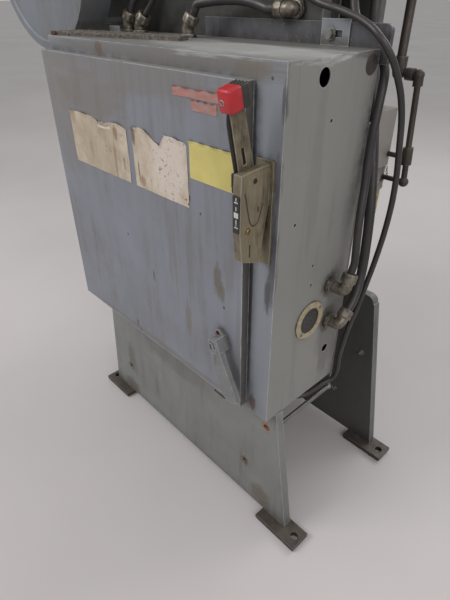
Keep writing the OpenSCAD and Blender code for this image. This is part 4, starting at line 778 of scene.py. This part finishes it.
# Where the face has torn off, the paper's inside shows paler and quite matt.
pale_ply = finish(
    "torn_white_paper_ply", "#cfcac1", "#bdb5a8", patch=0.02, grime="#8a7253", rough=(0.8, 0.9))
torn_sheet("white_ply_left", -0.215, -0.16, 1.012, 1.026, [(0, 0.8), (0.4, 1.0), (0.7, 0.5), (1, 0.9)],
           0.0018, 5, pale_ply)
torn_sheet("white_ply_right", -0.118, -0.098, 1.0, 1.012, [(0, 0.9), (0.5, 1.0), (1, 0.6)], 0.0012, 8,
           pale_ply)
# Vinyl sheet, faded from yellow to straw, with a soft gloss and a paler edge.
sticker_yellow = finish(
    "faded_yellow_vinyl", "#cbbd72", "#bdb068", patch=0.08, grime=("#8f7c46", 0.58, 0.8, 0.02, 0.04),
    edge="#e2d78e", rough=(0.4, 0.55))
torn_sheet("blank_yellow_sticker", 0.134, 0.261, 0.97, 1.044, [(0, 1), (1, 1)], 0.0002, 31, sticker_yellow)
# Orange paint rubbed away, so that the door's grey shows through in specks.
orange_trace = finish(
    "faded_orange_paint_trace", "#ab6a5c", "#957b77", patch=0.012,
    grime=("#84868b", 0.48, 0.66, 0.008, 0.01), rough=(0.5, 0.6))
torn_sheet("orange_trace_upper", 0.092, 0.222, 1.121, 1.137, [(0, 1), (1, 1)], 0.0006, 41, orange_trace)
torn_sheet("orange_trace_lower", 0.146, 0.216, 1.1, 1.118, [(0, 1), (1, 1)], 0.0006, 43, orange_trace)

# Conduit fittings
# Right-angle and straight liquid-tight connectors of zinc casting: a
# locknut on the sheet, a swept body with a lifting ridge and an eight-
# sided gland nut that squeezes the hose, with thread showing between them.
def swept_elbow(seat, inlet, outlet, reach, length):
    """A round body from the seat along the inlet's direction, through a quarter
    bend, to the outlet, and the turned locknut, gland nut and threads on it."""
    seat, inlet, outlet = (np.array(p, dtype=float) for p in (seat, inlet, outlet))
    corner = seat + inlet * reach
    knots = [seat + inlet * 0.004, seat + inlet * (reach - 0.017),
             seat + inlet * (reach - 0.009) + outlet * 0.001, corner - inlet * 0.004 + outlet * 0.004,
             corner - inlet * 0.001 + outlet * 0.009, corner + outlet * 0.017,
             corner + outlet * (length - 0.012)]
    swell = np.interp(np.linspace(0, 1, 49), [0, 0.25, 0.5, 0.75, 1], [0.95, 0.98, 1.06, 0.98, 0.92])
    body = bent_rod(knots, 0.0276 * swell, around=28)
    bore = 0.0112
    locknut = turned([(0.0, bore), (0.0, 0.0185), (0.0012, 0.0195), (0.0058, 0.0195), (0.0068, 0.0185),
                      (0.0068, bore)], seat, inlet, sides=64, corners=8)
    collar = turned([(0.0068, bore), (0.0068, 0.016), (0.0095, 0.0164), (0.0105, 0.015), (0.0105, bore)],
                    seat, inlet, sides=40)
    nut_from = length - 0.021
    nut = turned([(nut_from, 0.0115), (nut_from, 0.0165), (nut_from + 0.0015, 0.018), (length - 0.004, 0.018),
                  (length - 0.0025, 0.0168), (length - 0.0001, 0.015), (length - 0.0001, 0.0088)],
                 corner, outlet, sides=64, corners=8)
    thread = turned([(nut_from - 0.004 + 0.001 * i, 0.0132 + 0.0007 * (i % 2)) for i in range(5)], corner,
                    outlet, 40)
    return [body, locknut, collar, nut, thread]


elbows = (swept_elbow((cabinet_side, *upper_seat), (1, 0, 0), side_way(upper_lean), upper_reach, 0.042)
          + swept_elbow((cabinet_side, *lower_seat), (1, 0, 0), side_way(lower_lean), lower_reach, 0.042)
          + swept_elbow((*under_seat, cabinet_under), (0, 0, -1), (1, 0, 0), 0.033, 0.036)
          + swept_elbow((frame_seat[0], 0.015, frame_seat[1]), (0, -1, 0), (-1, 0, 0), 0.026, 0.036))
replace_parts(skin("conduit_elbows", elbows, fitting_zinc, "press"), "elbow_connectors")
tops = []
for i in range(3):
    seat, way, knee = np.array([*top_seats[i], cabinet_top]), top_way(i), top_gland(i, 0.0)
    tops.append(turned([(0.0, 0.0112), (0.0, 0.0185), (0.0012, 0.0198), (0.006, 0.0198), (0.007, 0.0186),
                        (0.007, 0.0112)], seat, (0, 0, 1), sides=64, corners=8))
    tops.append(bent_rod([seat + (0, 0, 0.004), seat + (0, 0, 0.012), knee - (0, 0, 0.003),
                          knee + way * 0.004, knee + way * 0.012, knee + way * 0.02], 0.028, around=28))
    tops.append(turned([(0.01, 0.0112), (0.01, 0.0172), (0.0115, 0.0188), (0.0258, 0.0188), (0.0275, 0.0172),
                        (0.0299, 0.0155), (0.0299, 0.0088)], knee, way, sides=64, corners=8))
    for ridge in (0.0135, 0.0165, 0.0195):
        tops.append(turned([(ridge, 0.018), (ridge + 0.0004, 0.0192), (ridge + 0.0008, 0.018)], knee, way,
                           64, 8))
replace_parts(skin("top_gland_fittings", tops, fitting_zinc, "press"), "top_connectors")

# Receptacle trim
# The moulded ring is held by two zinc screws, and the insert has tarnished
# steel sleeves in two rings of holes, twelve outside and six inside.
insert_radius, screw_radius = 0.0317, 0.0396
sleeves = []
ring_at = np.array([cabinet_side + 0.001, -0.12, 0.657])
for count, far in ((12, 0.72), (6, 0.36)):
    for i in range(count):
        turn = 2 * math.pi * i / count
        hole_at = ring_at + np.array([0, math.sin(turn), math.cos(turn)]) * far * insert_radius
        sleeves.append(turned([(-0.002, 0.0016), (0.0002, 0.0017), (0.0005, 0.0022), (0.0002, 0.0027),
                               (-0.002, 0.0028)], hole_at, (1, 0, 0), sides=16))
skin("receptacle_sleeves", sleeves, plug_steel, "press")
ring_screws = [turned([(0, 0.0042), (0.0012, 0.004), (0.0022, 0.0026), (0.0024, 0)],
                      ring_at + (0.004, screw_radius * math.sin(turn), screw_radius * math.cos(turn)),
                      (1, 0, 0), 20)
               for turn in (math.radians(50), math.radians(230))]
skin("receptacle_screws", ring_screws, zinc_bolts, "press")


# Latch details
# The latch's blade is a shallow roof with a bright worn
# ridge, and its block has a screw and a slot beside it; the slot and the screw's recess are painted shade.
latch_pivot, latch_lean, latch_face = (0.231, 0.61), math.radians(-22), -0.303


def swung(points):
    """Points in the latch's own upright frame, turned
    about a line along Y through its pivot by its lean."""
    x = points[..., 0] * math.cos(latch_lean) + points[..., 2] * math.sin(latch_lean) + latch_pivot[0]
    z = points[..., 2] * math.cos(latch_lean) - points[..., 0] * math.sin(latch_lean) + latch_pivot[1]
    return np.stack([x, points[..., 1], z], axis=-1)


def roof(left, ridge, right_, z, rise, back):
    """A blade with a ridge: at each height its section runs
    back left, left edge, ridge, right edge, back right."""
    rows = [np.stack([[l, back, h], [l, latch_face - 0.0003, h], [m, latch_face - up, h],
                      [r, latch_face - 0.0003, h], [r, back, h], [l, back, h]])
            for l, m, r, h, up in zip(left, ridge, right_, z, rise)]
    ends = [np.broadcast_to(row.mean(0), row.shape) for row in (rows[0], rows[-1])]
    return np.stack([ends[0]] + rows + [ends[1]])


blade = roof((-0.0145, -0.024, -0.0265, -0.012), (0.004, 0.0065, 0.0095, 0.0085),
             (0.0145, 0.0195, 0.0245, 0.0225), (-0.017, -0.06, -0.118, -0.1452),
             (0.0008, 0.003, 0.0036, 0.0022), -0.2905)
skin("latch_blade_roof", [swung(blade)], latch_paint, "latch", keep_sharp=12)
skin("latch_screw", [swung(turned([(0.0, 0.005), (0.001, 0.0046), (0.0014, 0.0034), (0.0002, 0.0026),
                                   (0.0002, 0.0)], (-0.0065, latch_face, 0.0105), (0, -1, 0), sides=24))],
     latch_zinc, "latch")
# The slot and the screw's recess: dark shapes on the face, painted shade.
cut_shades = [rounded_box((-0.0125, latch_face - 0.0001, -0.002), (0.0016, 0.0006, 0.0065), 0.0005),
             turned([(0.0, 0.0024), (0.0003, 0.0022), (0.0003, 0.0)], (-0.0065, latch_face - 0.0002, 0.0105),
                    (0, -1, 0), sides=16)]
skin("latch_cut_shades", [swung(g) for g in cut_shades], hollow_shade, "latch")
# Brown rust: rough and quite matt.
rust_dark = finish(
    "brown_rust", "#5a3422", "#452a1e", patch=0.01, rough=(0.8, 0.95), grain=0.001, depth=0.0002)
skin("latch_lug_rust", [swung(turned([(-0.0115, 0.0043), (-0.0003, 0.0044), (0.0003, 0.005),
                                      (-0.0002, 0.006)], (0.0, -0.2815, 0.025), (0, -1, 0), sides=28))],
     rust_dark, "latch")

# Fibre mat
# A strip of coarse pressed fibre lies across the cabinet's
# top: grey-brown, greasy and frayed along its edges.
mat_thick, hill_height, fray, fibre_radius = 0.0085, 0.0009, 0.0007, 0.00028


def between(a, b, share):
    """Points that lie at a share of the way from a to b."""
    return a + (b - a) * share


def mat_top(u, v):
    """The mat's surface: v runs from its front edge to its bent back edge, u along it;
    both edges wander, and the face is hills and hollows, sums of sines at odd angles."""
    front_edge = between(np.array([-0.428, -0.244]), np.array([-0.044, -0.14]), u[..., None])
    bend = np.stack([np.interp(u, [0, 0.47, 1], [-0.425, -0.25, -0.056]),
                     np.interp(u, [0, 0.47, 1], [-0.17, -0.128, -0.106])], axis=-1)
    flat = between(front_edge, bend, v[..., None])
    wave = np.sin(u * 131 + 3 * v) + np.sin(u * 77 - 5 * v + 1) + 0.6 * np.sin(u * 293 + 11 * v)
    flat[..., 1] += fray * wave * (1 - 2 * np.abs(v - 0.5) < 0.1)
    hills = (np.sin(u * 97 + v * 23) * np.sin(v * 31 - u * 41)
             + 0.7 * np.sin(u * 211 - v * 57) * np.sin(v * 83))
    return flat, cabinet_top + mat_thick + hill_height * hills


u, v = np.meshgrid(np.linspace(0, 1, 220), np.linspace(0, 1, 44), indexing="xy")
flat, high = mat_top(u, v)
top_face = np.concatenate([flat, high[..., None]], axis=-1)
rim = np.concatenate([top_face[0], top_face[1:, -1], top_face[-1, -2::-1], top_face[-2::-1, 0]])
foot = rim.copy()
foot[:, 2] = cabinet_top
steps = np.linspace(0, 1, 5)[:, None, None]
wall = between(rim[None], foot[None], steps)
wall[1:4, :, :2] += 0.0006 * np.sin(np.arange(len(rim)) * 2.3)[None, :, None]
mat_fibre = finish(
    "greasy_pressed_fibre", "#5b524b", "#8b837b", patch=0.004, grime=("#27211d", 0.4, 0.62, 0.006, 0.006),
    rough=(0.8, 0.95), grain=0.0015, depth=0.0012)
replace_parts(skin("pressed_fibre_mat", [top_face, wall], mat_fibre, "press", keep_sharp=180),
            "top_mat")

dice = np.random.default_rng(17)
count = 1500
along, across = dice.uniform(0, 1, count), dice.uniform(-0.01, 1.01, count)
across = np.where(dice.uniform(0, 1, count) < 0.6, dice.uniform(-0.015, 0.03, count), across)
root_flat, root_high = mat_top(np.clip(along, 0, 1), np.clip(across, 0, 1))
root = np.concatenate([root_flat, (root_high - dice.uniform(0, 0.007, count) * (across < 0.03))[:, None]],
                      axis=-1)
turn, tip = dice.uniform(0, 2 * math.pi, count), dice.uniform(-0.15, 0.35, count)
way = np.stack([np.cos(turn), np.sin(turn), tip], axis=-1)
curl = np.stack([-np.sin(turn), np.cos(turn), dice.uniform(-0.4, 0.2, count)], axis=-1)
share = np.linspace(0, 1, 4)[None, :, None]
length = dice.uniform(0.003, 0.01, count)[:, None, None]
spine = root[:, None] + length * (way[:, None] * share + 0.5 * curl[:, None] * share ** 2)
spine[..., 2] = np.maximum(spine[..., 2], cabinet_top + 0.0004)
ring = np.array([[0, 0, 1], [0.87, 0, -0.5], [-0.87, 0, -0.5], [0, 0, 1]]) * fibre_radius
hair = spine[:, :, None] + ring[None, None] * (1 - 0.7 * share[..., None])
# Loose fibres, from straw to dark brown and quite matt.
fibre = finish("loose_fibres", "#8d8579", "#4a4039", patch=0.01, rough=(0.8, 0.95))
skin("loose_mat_fibres", list(hair), fibre, "press", keep_sharp=180)
skin("rusty_end_block", [rounded_box((-0.4225, -0.2395, cabinet_top + 0.0045), (0.0125, 0.004, 0.0045),
                                     0.0012)], rust_dark, "press")

# Air filter
# The filter's head is cast zinc with two grip rings, its bowl yellowed
# clear plastic with oil standing in it. A short chain keeps the drain plug.
filter_at = (0.261, 0.232)
bowl_plastic = finish(
    "yellowed_bowl_plastic", "#a39263", "#8f7d50", patch=0.02, grime=("#5d4c30", 0.5, 0.7, 0.02, 0.02),
    rough=(0.18, 0.3), stains_and_shades=(((0.272, 0.222, 0.812), (0.012, 0.014, 0.02), "#4e3c1f", 0.85),))
bowl = turned([(0.773, 0.0), (0.7735, 0.006), (0.777, 0.0115), (0.783, 0.0152), (0.79, 0.0166),
               (0.84, 0.0169), (0.8405, 0.0176), (0.844, 0.0176), (0.8445, 0.0169), (0.8625, 0.0169)],
              (*filter_at, 0), (0, 0, 1))
skin("filter_bowl", [bowl], bowl_plastic, "press")
filter_head = turned([(0.86, 0.016), (0.86, 0.0206), (0.8625, 0.0214), (0.866, 0.0214), (0.868, 0.0204),
                      (0.872, 0.0204), (0.8735, 0.0212), (0.877, 0.0212), (0.8785, 0.0203), (0.919, 0.0203)],
                     (*filter_at, 0), (0, 0, 1))
skin("filter_head", [filter_head], latch_zinc, "press")
drop = np.linspace(0, 1, 9)
chain_line = np.stack([np.interp(drop, [0, 0.5, 1], [0.285, 0.289, 0.2815]),
                       np.interp(drop, [0, 0.5, 1], [0.236, 0.237, 0.224]),
                       0.918 - 0.033 * np.sin(drop * math.pi / 2)], axis=-1)
links = []
for k in range(8):
    ahead = chain_line[k + 1] - chain_line[k]
    ahead = ahead / np.linalg.norm(ahead)
    aside = np.cross(ahead, (1.0, 0.0, 0.0) if k % 2 else (0.0, 1.0, 0.0))
    aside = aside / np.linalg.norm(aside)
    loop_turn = np.linspace(0, 2 * math.pi, 25)
    half_long = 0.0036 * np.cos(loop_turn)[:, None] * ahead
    half_wide = 0.0024 * np.sin(loop_turn)[:, None] * aside
    middle = (chain_line[k] + chain_line[k + 1]) / 2
    links.append(bent_rod(middle + half_long + half_wide, 0.0013, around=8, between=1))
skin("plug_chain", links, rust_dark, "press")

# Bolts and welds on the frame
# Zinc hexagon bolts with washers hold the webs between
# the side plates, and cover and motor parts to the frame.
def hex_head(at, out, across=0.019, high=0.008):
    """A washer and a six-sided head with chamfered corners, turned about the outward direction."""
    r = across / 2 / math.cos(math.pi / 6)
    washer = turned([(0.0, 0.0), (0.0, r * 1.38), (0.0004, r * 1.42), (0.002, r * 1.42), (0.0024, r * 1.38),
                     (0.0024, 0.0)], at, out, sides=32)
    head = turned([(0.0024, 0.0), (0.0024, r), (0.001 + high, r), (0.0024 + high, r * 0.86),
                   (0.0024 + high, 0.0)], at, out, sides=36, corners=6, start=0.3)
    return [washer, head]


far_face, near_face = 0.24, 0.015
heads = []
for x, z in [(0.099, z) for z in (0.56, 0.76, 0.96, 1.16, 1.38)] + [(-0.442, z) for z in (0.87, 1.01, 1.15)]:
    heads += hex_head((x, far_face, z), (0, 1, 0))
for x, z in [(-0.735, 0.68), (-0.735, 0.78), (-0.5, 1.575), (-0.25, 1.575), (0.0, 1.575)]:
    heads += hex_head((x, far_face, z), (0, 1, 0)) + hex_head((x, near_face, z), (0, -1, 0))
for z in (1.28, 1.38):
    heads += hex_head((0.099, near_face, z), (0, -1, 0))
skin("frame_bolts", heads, zinc_bolts, "press")
bolt_end_at = (0.325, 0.215, 0.356)
far_leg_end = hex_head(bolt_end_at, (0, -1, 0), across=0.014, high=0.005)
far_leg_end.append(turned([(0.0, 0.004), (0.012, 0.004), (0.0125, 0.0036), (0.0125, 0.0)], bolt_end_at,
                          (0, -1, 0), sides=20))
skin("far_leg_bolt_end", far_leg_end, zinc_bolts, "press")


def weld(a, b):
    """A weld bead from a to b: a round rod whose thickness swells and shrinks every few millimetres."""
    a, b = np.array(a, dtype=float), np.array(b, dtype=float)
    count = max(int(np.linalg.norm(b - a) / 0.0025), 4)
    knots = between(a, b, np.linspace(0, 1, count)[:, None])
    swell = 0.007 * (1 + 0.1 * np.sin(np.arange(count) * math.pi * 0.9))
    return bent_rod(knots, swell, around=8, between=1)


beads = []
for y in (0.04, 0.215):
    beads += [weld((0.091, y, 0.5), (0.091, y, 1.44)), weld((0.107, y, 0.5), (0.107, y, 1.44)),
              weld((-0.452, y, 0.83), (-0.452, y, 1.2)), weld((-0.58, y, 1.584), (0.07, y, 1.584))]
skin("weld_beads", beads, plate_paint, "press")


# Floor and light
# A plain pale concrete tone and soft light from above and
# in front, at a level where colours keep their value.
floor_mesh = bpy.data.meshes.new("floor")
far = 150.0
floor_mesh.from_pydata([(-far, -far, 0), (far, -far, 0), (far, far, 0), (-far, far, 0)], [], [(0, 1, 2, 3)])
floor = placed("floor", floor_mesh)
floor.data.materials.append(finish("pale_floor", "#c4bebc", "#bdb7b5", patch=1.5, rough=(0.7, 0.8)))

world = bpy.data.worlds.new("studio")
bpy.context.scene.world = world
world.use_nodes = True
sky = world.node_tree
sky.nodes.clear()
soft = add(sky, "Background", {"Color": linear("#eef0f2"), "Strength": 0.62})
pale = add(sky, "Background", {"Color": linear("#c9c6c0"), "Strength": 1.0})
path = add(sky, "LightPath")
seen = add(sky, "MixShader", links={0: path.outputs["Is Camera Ray"], 1: soft.outputs[0], 2: pale.outputs[0]})
add(sky, "OutputWorld", links={"Surface": seen.outputs[0]})
for name, place, aim, size, power in (
        ("key", (-1.6, -3.2, 3.6), (0, 0, 0.8), 2.2, 95.0),
        ("fill", (3.0, -1.2, 2.6), (0, 0, 0.8), 2.5, 38.0),
        ("back", (0.5, 3.2, 3.4), (0, 0, 0.9), 2.5, 50.0)):
    lamp = placed(name, bpy.data.lights.new(name, "AREA"))
    lamp.data.size, lamp.data.energy = size, power
    away = np.array(place) - np.array(aim)
    away = away / np.linalg.norm(away)
    side = np.cross((0.0, 0.0, 1.0), away)
    side = side / np.linalg.norm(side)
    stand = Matrix([[*row] for row in np.column_stack([side, np.cross(away, side), away])]).to_4x4()
    lamp.matrix_world = Matrix.Translation(place) @ stand
bpy.context.scene.view_settings.view_transform = "Standard"
